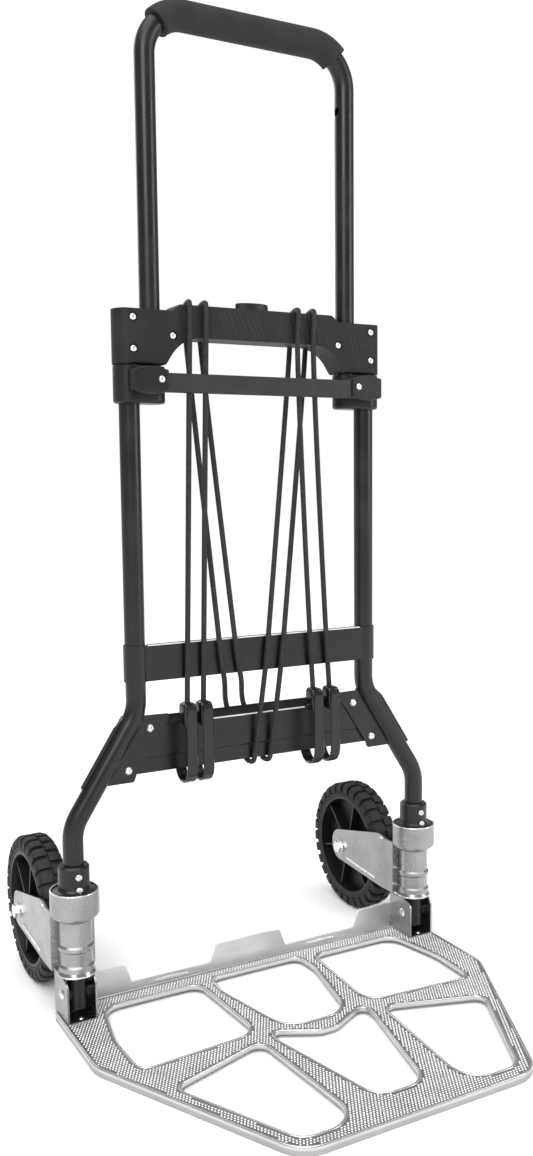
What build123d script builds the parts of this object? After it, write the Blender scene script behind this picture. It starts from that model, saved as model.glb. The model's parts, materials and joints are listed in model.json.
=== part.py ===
from build123d import *
import math
import os

os.makedirs("parts", exist_ok=True)

# A folding hand truck, standing unfolded with its handle drawn out.
# Frame of the part: +Z up, floor at z = 0, X across the truck (the truck is a mirror image
# about x = 0 apart from its two elastic cords), toe plate towards -Y, wheels towards +Y.
# The origin lies on the floor, midway between the plate's front edge and the wheels' back.
# Sizes are millimetres.  Right-hand (+X) pieces are built and the left ones mirror them.

# --- driving dimensions -------------------------------------------------------------------
# overall
HUB_X = 220.0            # wheel swivel axis from the middle plane
TUBE_X = 145.5           # upright frame tubes from the middle plane
HANDLE_INSET = 25.0      # handle tubes inboard of the frame tubes
HANDLE_Z = 1055.5        # middle line of the hand grip
HOUSING_TOP = 754.0      # top of the latch housing at its ends
PLATE_REACH = 327.0      # toe plate's front edge ahead of the swivel axes
AXLE_ARM = 133.0         # wheel axle behind the swivel axis
WHEEL_R = 84.0
WHEEL_W = 34.0
TRAVEL = 250.0           # stroke of the telescoping handle
# tubes
TUBE_R = 11.0
TUBE_WALL = 1.5
HANDLE_R = 10.75
HANDLE_WALL = 1.4
SPLAY_TOP_Z = 331.0      # corner where the frame tubes start to spread
SPLAY_LOW_Z = 215.0      # corner where they turn upright again
SPLAY_BEND_R = 45.0
TUBE_FOOT_Z = 20.0
HANDLE_BEND_R = 44.0
GRIP_R = 15.5
GRIP_BEND_ANGLE = 43.0   # how far round each corner bend the grip reaches
# latch housing and slide
HOUSING_COVER = 6.0      # plastic in front of and behind the frame tubes
HOUSING_H = 56.0
HOUSING_RISE = 7.0       # raised middle part of the housing's top
HOUSING_WALL = 3.0
HOUSING_EDGE_R = 2.0
ARCH_Z = 727.0
ARCH_INSET = 10.5        # the arch's feet inboard of the handle tubes
COLLAR_H = 38.5
COLLAR_GAP = 1.5         # between the collars and the housing
COLLAR_WALL = 5.5        # round the frame tubes
COLLAR_INNER_WALL = 3.75  # round the handle tubes
BAR_H = 20.0
BAR_AHEAD = 11.0         # the bar's front face ahead of the collars
BAR_T = 1.5
CAP_AHEAD = 13.5
CAP_PAST_HANDLE = 8.5    # the caps reach this far inboard of the handle tubes
CAP_PAST_TUBE = 6.5      # and this far outboard of the frame tubes' middle lines
CAP_H = 28.0
LATCH_R = 4.0
LATCH_Z = 738.0
BUTTON_A = 19.5          # half length of the oval release button
BUTTON_B = 10.0
BUTTON_PROUD = 8.0
BUTTON_STROKE = 5.0
# cross pieces
BAND_TOP = 404.0
BAND_H = 39.5
BAND_SET_BACK = 1.5      # the band's flat front behind the tubes' front line
BAND_T = 1.2
PANEL_TOP = 323.0
PANEL_LIP_Z = 314.0      # where the panel's top edge starts to lean back
PANEL_STEP_Z = 280.0
PANEL_BOTTOM = 262.0
PANEL_T = 1.5
GUSSET_T = 2.0
GUSSET_TOP = 327.0
GUSSET_BOTTOM = 255.0
SADDLE_T = 1.5
# wheel swivels
SLEEVE_WALL = 6.5
SLEEVE_LOW_Z = 57.8
CUP_OVER_TUBE = 15.2
CUP_LOW_Z = 121.7
CUP_TOP_Z = 149.2
CUP_WALL = 2.0
HUB_COLLAR_WALL = 5.6
HUB_COLLAR_TOP_Z = 176.4
FORK_ROOM = 5.0          # between the tyre and each side plate
FORK_T = 2.5
FORK_WEB_Y = 10.0
FORK_END_R = 19.5
AXLE_R = 5.0
TYRE_H = 18.0
# toe plate
PLATE_HALF_W = 239.5
PLATE_FRONT_X = 131.6    # the tapered front's corners from the middle plane
PLATE_TOP = 8.0
PLATE_T = 2.0
PLATE_RIM_T = 2.0
FLANGE_Y = 28.7          # back face of the plate's upstand
FLANGE_LOW_Z = 18.0
FLANGE_TAB_Z = 39.0
PIVOT_Z = 36.0
PIN_R = 4.0
EAR_CLEAR = 3.5          # between the frame tube's foot and each ear
EAR_T = 2.0
EAR_R = 20.5
EAR_TOP_Z = 54.0
# elastic cords
CORD_R = 3.0
HOOK_W = 12.0
HOOK_T = 3.0
# clearances
RUN = 0.06               # radial, a shaft turning in its bore
SLIDE = 0.3              # radial, the telescoping tubes in their guides
GAP = 0.3                # between pieces that pass each other

# --- sizes worked out from them -----------------------------------------------------------
WHEEL_Z = WHEEL_R
RIM_R = WHEEL_R - TYRE_H
HOUSING_D = 2 * (TUBE_R + HOUSING_COVER)
COLLAR_R = TUBE_R + COLLAR_WALL
COLLAR_INNER_R = HANDLE_R + COLLAR_INNER_WALL
BAR_FRONT = COLLAR_R + BAR_AHEAD
CAP_FRONT = COLLAR_R + CAP_AHEAD
BAND_FRONT = TUBE_R - BAND_SET_BACK
SLEEVE_R = TUBE_R + SLEEVE_WALL
CUP_R = TUBE_R + CUP_OVER_TUBE
HUB_COLLAR_R = TUBE_R + HUB_COLLAR_WALL
FORK_HALF_W = WHEEL_W / 2 + FORK_ROOM + FORK_T
EAR_X = TUBE_R + EAR_CLEAR + EAR_T / 2
HANDLE_X = TUBE_X - HANDLE_INSET
ARCH_FOOT_X = HANDLE_X - ARCH_INSET
CAP_INNER_X = HANDLE_X - CAP_PAST_HANDLE
CAP_OUTER_X = TUBE_X + CAP_PAST_TUBE
HUB_Y = (PLATE_REACH - AXLE_ARM - WHEEL_R) / 2
AXLE_Y = HUB_Y + AXLE_ARM
HOUSING_LOW = HOUSING_TOP - HOUSING_H
HOUSING_MID_TOP = HOUSING_TOP + HOUSING_RISE
COLLAR_TOP = HOUSING_LOW - COLLAR_GAP
COLLAR_LOW = COLLAR_TOP - COLLAR_H
CAP_Z = (COLLAR_TOP + COLLAR_LOW) / 2 + 3.5
BAR_LOW = CAP_Z - BAR_H / 2 - 2.0
LOCK_HOLE_Z = LATCH_Z + TRAVEL
SPLAY = math.atan2(HUB_X - TUBE_X, SPLAY_TOP_Z - SPLAY_LOW_Z)
LATCH_TIP_X = HANDLE_X - HANDLE_R - GAP


def save(name, shape):
    export_step(shape, f"parts/{name}.step")


def mirrored(shape):
    return mirror(shape, about=Plane.YZ)


def save_pair(name, shape):
    """Writes a right-hand piece and its left-hand mirror image as two nodes."""
    save(f"right_{name}", shape)
    save(f"left_{name}", mirrored(shape))


def save_group(name, solids):
    """Writes identical small pieces as one node of separate solids."""
    save(name, Compound(solids))


def at(x, y, z):
    """A place given from the wheel swivels' plane, the middle plane and the floor."""
    return Pos(x, HUB_Y + y, z)


def outline(corners):
    """A closed face from (x, y, corner radius) triples."""
    points = [(x, y) for x, y, _ in corners]
    radii = [r for _, _, r in corners]
    return make_face(FilletPolyline(*points, radius=radii, close=True))


def flipped(corners):
    """The same corners mirrored about x = 0, in the same turning direction."""
    return [(-x, y, r) for x, y, r in reversed(corners)]


def grown(corners, amount):
    """The same outline with every side moved outwards, or inwards by a negative amount."""
    count = len(corners)
    area = sum(
        corners[i - 1][0] * corners[i][1] - corners[i][0] * corners[i - 1][1] for i in range(count)
    )
    turning = 1 if area > 0 else -1
    moved = []
    for i, (x, y, r) in enumerate(corners):
        before = (Vector(x, y) - Vector(*corners[i - 1][:2])).normalized()
        after = (Vector(*corners[(i + 1) % count][:2]) - Vector(x, y)).normalized()
        cross = (before.X * after.Y - before.Y * after.X) * turning
        normals = (before.Y + after.Y, -before.X - after.X)
        scale = turning * amount / (1 + before.dot(after))
        place = (x + normals[0] * scale, y + normals[1] * scale)
        bend = amount if cross > 0 else -amount
        moved.append((*place, max(r + bend, 0.2)))
    return moved


def upright(face, y_front, y_back):
    """A face drawn in X and Z, made solid between two depths from the swivel plane."""
    depth = y_back - y_front
    placed = Pos(0, HUB_Y + y_back, 0) * (Plane.XZ * face)
    return extrude(placed, amount=depth, dir=(0, -1, 0))


def sideways(face, x_low, x_high):
    """A face drawn in Y and Z, made solid between two places across the truck."""
    placed = Pos(x_low, HUB_Y, 0) * (Plane.YZ * face)
    return extrude(placed, amount=x_high - x_low, dir=(1, 0, 0))


def rod_x(radius, x_low, x_high, y, z):
    """A cylinder along X."""
    middle = at((x_low + x_high) / 2, y, z)
    return middle * Rot(0, 90, 0) * Cylinder(radius, abs(x_high - x_low))


def rod_y(radius, y_low, y_high, x, z):
    """A cylinder along Y."""
    middle = at(x, (y_low + y_high) / 2, z)
    return middle * Rot(90, 0, 0) * Cylinder(radius, y_high - y_low)


def rod_z(radius, z_low, z_high, x, y=0.0):
    """An upright cylinder."""
    return at(x, y, (z_low + z_high) / 2) * Cylinder(radius, z_high - z_low)


def block(x_low, x_high, y_low, y_high, z_low, z_high):
    """A box between two corners, its depths measured from the swivel plane."""
    middle = at((x_low + x_high) / 2, (y_low + y_high) / 2, (z_low + z_high) / 2)
    return middle * Box(x_high - x_low, y_high - y_low, z_high - z_low)


def swept(path, radius):
    """A round bar along a path."""
    start = Plane(origin=path @ 0, z_dir=path % 0)
    return sweep(start * Circle(radius), path=path)


def turned(profile, x=0.0, y=0.0, z=0.0):
    """A solid of revolution from (radius, height) points, about an upright axis."""
    points = [(r, h) for r, h in profile]
    face = make_face(Polyline(*points, close=True))
    solid = revolve(Plane.XZ * face, axis=Axis.Z)
    return at(x, y, z) * solid


def dome_head(radius, height):
    """A low domed head: flat on z = 0 and rising along +Z."""
    ball_r = (radius**2 + height**2) / (2 * height)
    ball = Pos(0, 0, height - ball_r) * Sphere(ball_r)
    return ball & Pos(0, 0, height) * Cylinder(radius + 1, 2 * height)


FACING_FRONT = Rot(90, 0, 0)


def front_screw(x, y, z, radius, height, shank_r, shank_length):
    """A dome-headed screw seen from the front, its head seated on the depth y."""
    head = dome_head(radius, height)
    shank = Pos(0, 0, -shank_length / 2) * Cylinder(shank_r, shank_length)
    return at(x, y, z) * FACING_FRONT * (head + shank)


# --- frame tubes ---------------------------------------------------------------------------
def frame_tube_path():
    return FilletPolyline(
        (TUBE_X, HUB_Y, HOUSING_TOP - HOUSING_WALL),
        (TUBE_X, HUB_Y, SPLAY_TOP_Z),
        (HUB_X, HUB_Y, SPLAY_LOW_Z),
        (HUB_X, HUB_Y, TUBE_FOOT_Z),
        radius=SPLAY_BEND_R,
    )


def frame_tube():
    path = frame_tube_path()
    tube = swept(path, TUBE_R) - swept(path, TUBE_R - TUBE_WALL)
    return tube - rod_x(PIN_R, HUB_X - 2 * TUBE_R, HUB_X + 2 * TUBE_R, 0, PIVOT_Z)


def splay_x(z, across=0.0):
    """Where the spreading stretch of the right tube's middle line is at height z."""
    return TUBE_X + (SPLAY_TOP_Z - z) * math.tan(SPLAY) + across / math.cos(SPLAY)


# --- latch housing -------------------------------------------------------------------------
def housing_block():
    """The outer form: half-round ends, a raised middle and an arch below it."""
    end_x = TUBE_X + HOUSING_D / 2
    raise_x = ARCH_FOOT_X - 8.0
    ends = SlotOverall(2 * end_x, HOUSING_D)
    plan = extrude(at(0, 0, HOUSING_LOW - 1) * ends, HOUSING_MID_TOP - HOUSING_LOW + 2)
    body = soft_edged_bar(-end_x - 5, end_x + 5, HOUSING_TOP) & plan
    slope = HOUSING_RISE / 10.0
    ramp = [
        (raise_x, HOUSING_LOW - 1, 0),
        (raise_x, HOUSING_TOP, 0),
        (raise_x - 20.0, HOUSING_TOP + 20.0 * slope, 0),
    ]
    middle = soft_edged_bar(-raise_x - 5, raise_x + 5, HOUSING_MID_TOP)
    body += middle & upright(outline(ramp + flipped(ramp)), -HOUSING_D, HOUSING_D)
    lean = 19.0 / (ARCH_Z - HOUSING_LOW)
    arch = [
        (ARCH_FOOT_X + 10.0 * lean, HOUSING_LOW - 10.0, 0),
        (ARCH_FOOT_X - 19.0, ARCH_Z, 42.0),
    ]
    return body - upright(outline(arch + flipped(arch)), -HOUSING_D, HOUSING_D)


def soft_edged_bar(x_low, x_high, top):
    """A bar across the truck, as deep as the housing, with its long edges rounded."""
    front, back, low = -HOUSING_D / 2, HOUSING_D / 2, HOUSING_LOW
    r = HOUSING_EDGE_R
    section = [(front, low, r), (back, low, r), (back, top, r), (front, top, r)]
    return sideways(outline(section), x_low, x_high)


def button_well():
    """The room that the button and its wedge need inside the housing."""
    inner_x = ARCH_FOOT_X - 22.0
    inner_y = HOUSING_D / 2 - HOUSING_WALL
    low = WELL_FLOOR_Z
    room = block(-inner_x, inner_x, -inner_y, inner_y, low, HOUSING_MID_TOP - HOUSING_WALL)
    mouth = extrude(
        at(0, 0, HOUSING_MID_TOP - 2 * HOUSING_WALL) * Ellipse(BUTTON_A + GAP, BUTTON_B + GAP),
        3 * HOUSING_WALL,
    )
    return room + mouth


def housing_screw_places():
    """(x, z) of the six screws that close the housing."""
    outer = [(TUBE_X, HOUSING_TOP - 9.0), (TUBE_X, HOUSING_TOP - 41.0)]
    right = outer + [(ARCH_FOOT_X - 8.6, HOUSING_TOP - 26.0)]
    return right + [(-x, z) for x, z in right]


SCREW_SEAT = 1.2         # depth of the round seat round each housing screw


def housing_screws():
    seat = -HOUSING_D / 2 + SCREW_SEAT
    shank = HOUSING_COVER - SCREW_SEAT - 1.3
    return [front_screw(x, seat, z, 3.8, 2.4, 1.6, shank) for x, z in housing_screw_places()]


def housing():
    body = housing_block() - button_well()
    tops = HOUSING_MID_TOP + 1
    for side in (1, -1):
        body -= rod_z(TUBE_R, HOUSING_LOW - 1, HOUSING_TOP - HOUSING_WALL, side * TUBE_X)
        body -= rod_z(HANDLE_R + SLIDE, HOUSING_LOW - 1, tops, side * HANDLE_X)
        body -= rod_x(LATCH_R + RUN, side * HANDLE_X, side * 60.0, 0, LATCH_Z)
    front_y = -HOUSING_D / 2
    for x, z in housing_screw_places():
        body -= rod_y(5.0, front_y - 1, front_y + SCREW_SEAT, x, z)
    for screw in housing_screws():
        body -= screw
    return body


def half_of_housing(body, front):
    reach = HOUSING_D
    width = TUBE_X + HOUSING_D
    y_low, y_high = (-reach, 0) if front else (0, reach)
    return body & block(-width, width, y_low, y_high, 0, 2 * HOUSING_TOP)


def release_button():
    """Oval push button with a keeper flange and two pairs of slotted arms below it."""
    top = HOUSING_MID_TOP + BUTTON_PROUD
    cap_low = HOUSING_MID_TOP - HOUSING_WALL - GAP
    cap = extrude(at(0, 0, cap_low) * Ellipse(BUTTON_A, BUTTON_B), top - cap_low)
    cap = fillet(cap.edges().sort_by(Axis.Z)[-1], 1.5)
    keeper = extrude(at(0, 0, cap_low - 3) * Ellipse(BUTTON_A + 3, BUTTON_B + 2.5), 3)
    stem = block(-8, 8, -5, 5, SPRING_TOP_Z, cap_low - 3)
    body = cap + keeper + stem
    arm_low = LATCH_Z - LATCH_PIN_R - GAP - 1.2
    for side in (1, -1):
        arm = upright(arm_outline(arm_low, cap_low), -3.4, 3.4)
        arm -= block(0, HANDLE_X, -1.4, 1.4, 0, 2 * HOUSING_TOP)
        body += arm if side == 1 else mirrored(arm)
    return body


def arm_outline(low, top):
    """The right-hand arm seen from the front, with the slot that draws its rod inwards."""
    face = outline([(13, low, 2), (30, low, 2), (30, top - 1, 2), (13, top - 1, 0)])
    run = BUTTON_STROKE * math.sqrt(2)
    width = 2 * (LATCH_PIN_R + GAP)
    slot = Rot(0, 0, 135) * SlotCenterToCenter(run, width)
    middle = Pos(LATCH_PIN_X - BUTTON_STROKE / 2, LATCH_Z + BUTTON_STROKE / 2)
    return face - middle * slot


WELL_FLOOR_Z = ARCH_Z + 2.0
SPRING_TOP_Z = WELL_FLOOR_Z + 13.0


def button_spring():
    turns = 4
    wire_r = 0.5
    height = SPRING_TOP_Z - WELL_FLOOR_Z - 2 * wire_r - 0.1
    coil = Helix(pitch=height / turns, height=height, radius=4.0)
    return at(0, 0, WELL_FLOOR_Z + wire_r) * swept(coil, wire_r)


LATCH_PIN_R = 1.5
LATCH_PIN_X = 23.0


def latch_rod():
    """A bolt that locks one handle tube; its flat inner end carries the pin in the slots."""
    tongue_end = 30 + BUTTON_STROKE + 1.5
    rod = rod_x(LATCH_R, LATCH_PIN_X - 4, LATCH_TIP_X, 0, LATCH_Z)
    for low, high in ((1.0, LATCH_R + 1), (-LATCH_R - 1, -1.0)):
        rod -= block(0, tongue_end, low, high, 0, 2 * LATCH_Z)
    return rod + rod_y(LATCH_PIN_R, -4.4, 4.4, LATCH_PIN_X, LATCH_Z)


# --- handle --------------------------------------------------------------------------------
def handle_tube():
    path = FilletPolyline(
        (-HANDLE_X, HUB_Y, COLLAR_LOW + 2.5),
        (-HANDLE_X, HUB_Y, HANDLE_Z),
        (HANDLE_X, HUB_Y, HANDLE_Z),
        (HANDLE_X, HUB_Y, COLLAR_LOW + 2.5),
        radius=HANDLE_BEND_R,
    )
    tube = swept(path, HANDLE_R) - swept(path, HANDLE_R - HANDLE_WALL)
    for z in (LATCH_Z, LOCK_HOLE_Z):
        tube -= rod_x(LATCH_R + GAP, -HANDLE_X, HANDLE_X, 0, z)
    return tube


def grip():
    """A foam sleeve over the handle's straight top and part of both corner bends."""
    turn = math.radians(GRIP_BEND_ANGLE)
    centre_x = HANDLE_X - HANDLE_BEND_R
    centre_z = HANDLE_Z - HANDLE_BEND_R

    def on_bend(angle, side):
        x = centre_x + HANDLE_BEND_R * math.sin(angle)
        return (side * x, HUB_Y, centre_z + HANDLE_BEND_R * math.cos(angle))

    left = ThreePointArc(on_bend(turn, -1), on_bend(turn / 2, -1), on_bend(0, -1))
    right = ThreePointArc(on_bend(0, 1), on_bend(turn / 2, 1), on_bend(turn, 1))
    path = Wire([left, Line(left @ 1, right @ 0), right])
    return swept(path, GRIP_R) - swept(path, HANDLE_R)


def collar():
    """Slides on a frame tube and holds the foot of a handle tube."""
    outer = Pos(TUBE_X, 0) * Circle(COLLAR_R)
    inner = Pos(HANDLE_X, 0) * Circle(COLLAR_INNER_R)
    plan = make_hull(outer.edges() + inner.edges())
    body = extrude(at(0, 0, COLLAR_LOW) * plan, COLLAR_H)
    body = fillet(body.faces().sort_by(Axis.Z)[0].edges(), 3.0)
    body -= rod_z(TUBE_R + SLIDE, COLLAR_LOW - 1, COLLAR_TOP + 1, TUBE_X)
    return body - rod_z(HANDLE_R, COLLAR_LOW + 2.5, COLLAR_TOP + 1, HANDLE_X)


def slide_bar():
    """The pressed cross bar that joins the two collars, its lower edge turned back."""
    low, top, front = BAR_LOW, BAR_LOW + BAR_H, -BAR_FRONT
    back = front + 4.0
    section = [
        (front, low, 3.5),
        (back, low, 0),
        (back, low + BAR_T, 0),
        (front + BAR_T, low + BAR_T, 2.0),
        (front + BAR_T, top, 0),
        (front, top, 0),
    ]
    end = CAP_INNER_X + 6.0
    return sideways(outline(section), -end, end)


def collar_cap():
    """A shield over the bar's end, screwed through into the handle tube's foot."""
    low, top = CAP_Z - CAP_H / 2, CAP_Z + CAP_H / 2
    drop = 3.5
    arc_top = ThreePointArc(
        (CAP_INNER_X, top - drop), ((CAP_INNER_X + CAP_OUTER_X) / 2, top), (CAP_OUTER_X, top - drop)
    )
    arc_low = ThreePointArc(
        (CAP_OUTER_X, low + drop), ((CAP_INNER_X + CAP_OUTER_X) / 2, low), (CAP_INNER_X, low + drop)
    )
    sides = [Line(arc_top @ 1, arc_low @ 0), Line(arc_low @ 1, arc_top @ 0)]
    face = make_face([arc_top, sides[0], arc_low, sides[1]])
    body = upright(face, -CAP_FRONT, -COLLAR_INNER_R + 6)
    body = fillet(body.faces().sort_by(Axis.Y)[0].edges(), 2.0)
    body -= collar_envelope() + slide_bar()
    return body - cap_screws()[0]


def collar_envelope():
    outer = Pos(TUBE_X, 0) * Circle(COLLAR_R)
    inner = Pos(HANDLE_X, 0) * Circle(COLLAR_INNER_R)
    plan = make_hull(outer.edges() + inner.edges())
    return extrude(at(0, 0, COLLAR_LOW) * plan, COLLAR_H)


def cap_screws():
    return [front_screw(s * HANDLE_X, -CAP_FRONT, CAP_Z + 1, 3.8, 2.4, 1.6, 1.2) for s in (1, -1)]


# --- band, panel and gussets ---------------------------------------------------------------
def band():
    """A pressed strap across both frame tubes, its ends rolled round them."""
    low, top, front = BAND_TOP - BAND_H, BAND_TOP, -BAND_FRONT
    back = front + 7.5
    section = [
        (front, low, 1.5),
        (back, low, 0),
        (back, low + BAND_T, 0),
        (front + BAND_T, low + BAND_T, 0.5),
        (front + BAND_T, top - BAND_T, 0.5),
        (back, top - BAND_T, 0),
        (back, top, 0),
        (front, top, 1.5),
    ]
    roll_r = TUBE_R + 1.6
    web = sideways(outline(section), -TUBE_X, TUBE_X)
    solid = web
    for side in (1, -1):
        x = side * TUBE_X
        roll = rod_z(roll_r, low, top, x)
        inboard = block(min(0, x), max(0, x), front + BAND_T, roll_r + 1, low - 1, top + 1)
        solid = solid - rod_z(roll_r - 0.01, low - 1, top + 1, x) + (roll - inboard)
    for side in (1, -1):
        solid -= rod_z(TUBE_R, low - 1, top + 1, side * TUBE_X)
    return solid


def panel():
    """The lower cross panel: leaning top lip, stepped foot and slanted ends."""
    t = PANEL_T
    lean = PANEL_TOP - PANEL_LIP_Z
    off = t / math.sqrt(2)
    section = [
        (0, PANEL_STEP_Z, 0),
        (0, PANEL_LIP_Z, 1.0),
        (lean, PANEL_TOP, 0),
        (lean + off, PANEL_TOP - off, 0),
        (t, PANEL_LIP_Z - t / 2, 1.0),
        (t, PANEL_STEP_Z + t / 2, 0),
        (2 * t, PANEL_STEP_Z - t / 2, 0),
        (2 * t, PANEL_BOTTOM + t, 0.5),
        (2 * t + 2, PANEL_BOTTOM + t, 0),
        (2 * t + 2, PANEL_BOTTOM, 0),
        (t, PANEL_BOTTOM, 1.0),
        (t, PANEL_STEP_Z - t, 0),
    ]
    bar = sideways(outline(section), -HUB_X, HUB_X)
    clear = TUBE_R + SADDLE_T + 2.0
    top_x = splay_x(PANEL_TOP + 5, -clear)
    low_x = splay_x(PANEL_BOTTOM - 5, -clear)
    ends = [
        (low_x, PANEL_BOTTOM - 5, 0),
        (top_x, PANEL_TOP + 5, 0),
        (-top_x, PANEL_TOP + 5, 0),
        (-low_x, PANEL_BOTTOM - 5, 0),
    ]
    solid = bar & upright(outline(ends), -20, 30)
    for x, z in rivet_places():
        solid -= rod_y(RIVET_R, -1, 3 * t, x, z)
    return solid


def gusset():
    """A saddle bracket: flat wings in the tubes' middle plane and a half-round seat."""
    wing = TUBE_R + SADDLE_T + 2.0
    corners = [
        (TUBE_X + 5.0, GUSSET_BOTTOM, 2.0),
        (splay_x(GUSSET_BOTTOM, wing), GUSSET_BOTTOM, 2.0),
        (splay_x(SPLAY_TOP_Z - 14, wing), SPLAY_TOP_Z - 14, 5.0),
        (TUBE_X + wing + 1, GUSSET_TOP, 1.0),
        (TUBE_X - 36.5, GUSSET_TOP - 1, 1.0),
        (TUBE_X - 37.5, GUSSET_TOP - 8, 1.0),
        (TUBE_X - 26.5, GUSSET_TOP - 20, 6.0),
        (TUBE_X + 1.5, PANEL_BOTTOM + 2, 4.0),
    ]
    face = outline(corners)
    path = frame_tube_path()
    wings = upright(face, -GUSSET_T, 0)
    seat = swept(path, TUBE_R + SADDLE_T) & upright(face, -GUSSET_T, 2 * TUBE_R)
    solid = wings + seat - swept(path, TUBE_R)
    for x, z in rivet_places():
        solid -= rod_y(RIVET_R, -5, 5, x, z)
    return solid


RIVET_R = 2.5


def rivet_places():
    """(x, z) of the right-hand and left-hand rivets between gussets and panel."""
    low_z = PANEL_BOTTOM + 6.3
    right = [(TUBE_X - 15.3, PANEL_LIP_Z - 2.0), (splay_x(low_z) - 29.4, low_z)]
    return right + [(-x, z) for x, z in right]


def gusset_rivets():
    length = GUSSET_T + 2 * PANEL_T
    return [front_screw(x, -GUSSET_T, z, 4.6, 3.0, RIVET_R, length) for x, z in rivet_places()]


# --- wheel swivels -------------------------------------------------------------------------
def hub_collar():
    """Clamped on the frame tube, it covers the swivel's cup and holds it down."""
    flange_r = CUP_R - CUP_WALL - 0.8
    low = CUP_TOP_Z - 3.5
    profile = [
        (TUBE_R, low),
        (flange_r, low),
        (flange_r, low + 2.5),
        (HUB_COLLAR_R + 1.5, low + 4.5),
        (HUB_COLLAR_R, low + 6.5),
        (HUB_COLLAR_R, HUB_COLLAR_TOP_Z - 2),
        (HUB_COLLAR_R - 2, HUB_COLLAR_TOP_Z),
        (TUBE_R, HUB_COLLAR_TOP_Z),
    ]
    body = turned(profile, HUB_X)
    for screw in hub_screws()[:2]:
        body -= screw
    return body


def hub_screws():
    """Two dome screws in the front of each collar."""
    right = [
        front_screw(HUB_X, -HUB_COLLAR_R + 0.4, 166.0, 3.6, 2.6, 1.6, 4.0),
        front_screw(HUB_X, -HUB_COLLAR_R - 1.0, CUP_TOP_Z + 3.4, 3.6, 2.6, 1.6, 4.0),
    ]
    return right + [mirrored(s) for s in right]


def swivel_sleeve():
    """Cup, beaded sleeve and foot flange in one drawn piece, turning on the frame tube."""
    bore = TUBE_R + RUN
    bead_r = SLEEVE_R + 1.7
    floor_z = CUP_LOW_Z + 3.0
    profile = [
        (bore, SLEEVE_LOW_Z),
        (SLEEVE_R + 3.3, SLEEVE_LOW_Z),
        (SLEEVE_R + 3.3, SLEEVE_LOW_Z + 1.6),
        (bead_r, SLEEVE_LOW_Z + 5.0),
        (bead_r, SLEEVE_LOW_Z + 10.0),
        (SLEEVE_R, SLEEVE_LOW_Z + 12.0),
        (SLEEVE_R, SLEEVE_LOW_Z + 26.0),
        (bead_r, SLEEVE_LOW_Z + 28.0),
        (bead_r, SLEEVE_LOW_Z + 31.5),
        (SLEEVE_R, SLEEVE_LOW_Z + 33.5),
        (SLEEVE_R, CUP_LOW_Z - 5.0),
        (CUP_R - 1.5, CUP_LOW_Z),
        (CUP_R, CUP_LOW_Z + 2.5),
        (CUP_R, CUP_TOP_Z),
        (CUP_R - CUP_WALL, CUP_TOP_Z),
        (CUP_R - CUP_WALL, floor_z),
        (bore, floor_z),
    ]
    return turned(profile, HUB_X)


def swivel_spring():
    """The coil inside the cup that turns the wheel out as the toe plate comes down."""
    wire_r = 1.1
    low = CUP_LOW_Z + 3.0 + GAP + wire_r
    height = 3 * 3.6
    coil = Helix(pitch=3.6, height=height, radius=TUBE_R + 5.5)
    return at(HUB_X, 0, low) * swept(coil, wire_r)


def fork_bracket():
    """Two side plates and the front web that joins them to the sleeve."""
    lip_y = CUP_R + 2.0
    side = [
        (FORK_WEB_Y, SLEEVE_LOW_Z + 2.0, 1.0),
        (AXLE_ARM - 96.0, SLEEVE_LOW_Z + 1.5, 12.0),
        (AXLE_ARM + FORK_END_R, WHEEL_Z - FORK_END_R + 2.5, FORK_END_R - 1.5),
        (AXLE_ARM + FORK_END_R, WHEEL_Z + FORK_END_R - 1.0, FORK_END_R - 1.5),
        (lip_y + 12, CUP_LOW_Z + 7.0, 30.0),
        (lip_y, CUP_LOW_Z + 3.0, 2.0),
        (FORK_WEB_Y, CUP_LOW_Z + 3.0, 1.0),
    ]
    face = outline(side)
    solid = sideways(face, HUB_X - FORK_HALF_W, HUB_X - FORK_HALF_W + FORK_T)
    solid += sideways(face, HUB_X + FORK_HALF_W - FORK_T, HUB_X + FORK_HALF_W)
    solid += block(
        HUB_X - FORK_HALF_W,
        HUB_X + FORK_HALF_W,
        FORK_WEB_Y,
        FORK_WEB_Y + FORK_T,
        SLEEVE_LOW_Z + 2.0,
        CUP_LOW_Z + 3.0,
    )
    saddle = rod_z(SLEEVE_R + FORK_T, SLEEVE_LOW_Z + 2.0, CUP_LOW_Z - 5.0, HUB_X)
    front = FORK_WEB_Y + FORK_T / 2
    solid += saddle & block(HUB_X - 50, HUB_X + 50, front, 50, 0, CUP_TOP_Z)
    solid -= rod_z(SLEEVE_R, 0, CUP_TOP_Z, HUB_X) + swivel_sleeve()
    reach = FORK_HALF_W + 1
    return solid - rod_x(AXLE_R, HUB_X - reach, HUB_X + reach, AXLE_ARM, WHEEL_Z)


def hexagon_x(width, x_low, x_high):
    """A hexagonal head on the wheel axle."""
    face = Plane.YZ * RegularPolygon(width / 2, 6, major_radius=False)
    return at(x_low, AXLE_ARM, WHEEL_Z) * extrude(face, x_high - x_low, dir=(1, 0, 0))


def axle_bolt():
    shank = rod_x(
        AXLE_R, HUB_X - FORK_HALF_W - 1.5, HUB_X + FORK_HALF_W + 1.5, AXLE_ARM, WHEEL_Z
    )
    return shank + hexagon_x(14.0, HUB_X + FORK_HALF_W + 1.5, HUB_X + FORK_HALF_W + 6.0)


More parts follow.
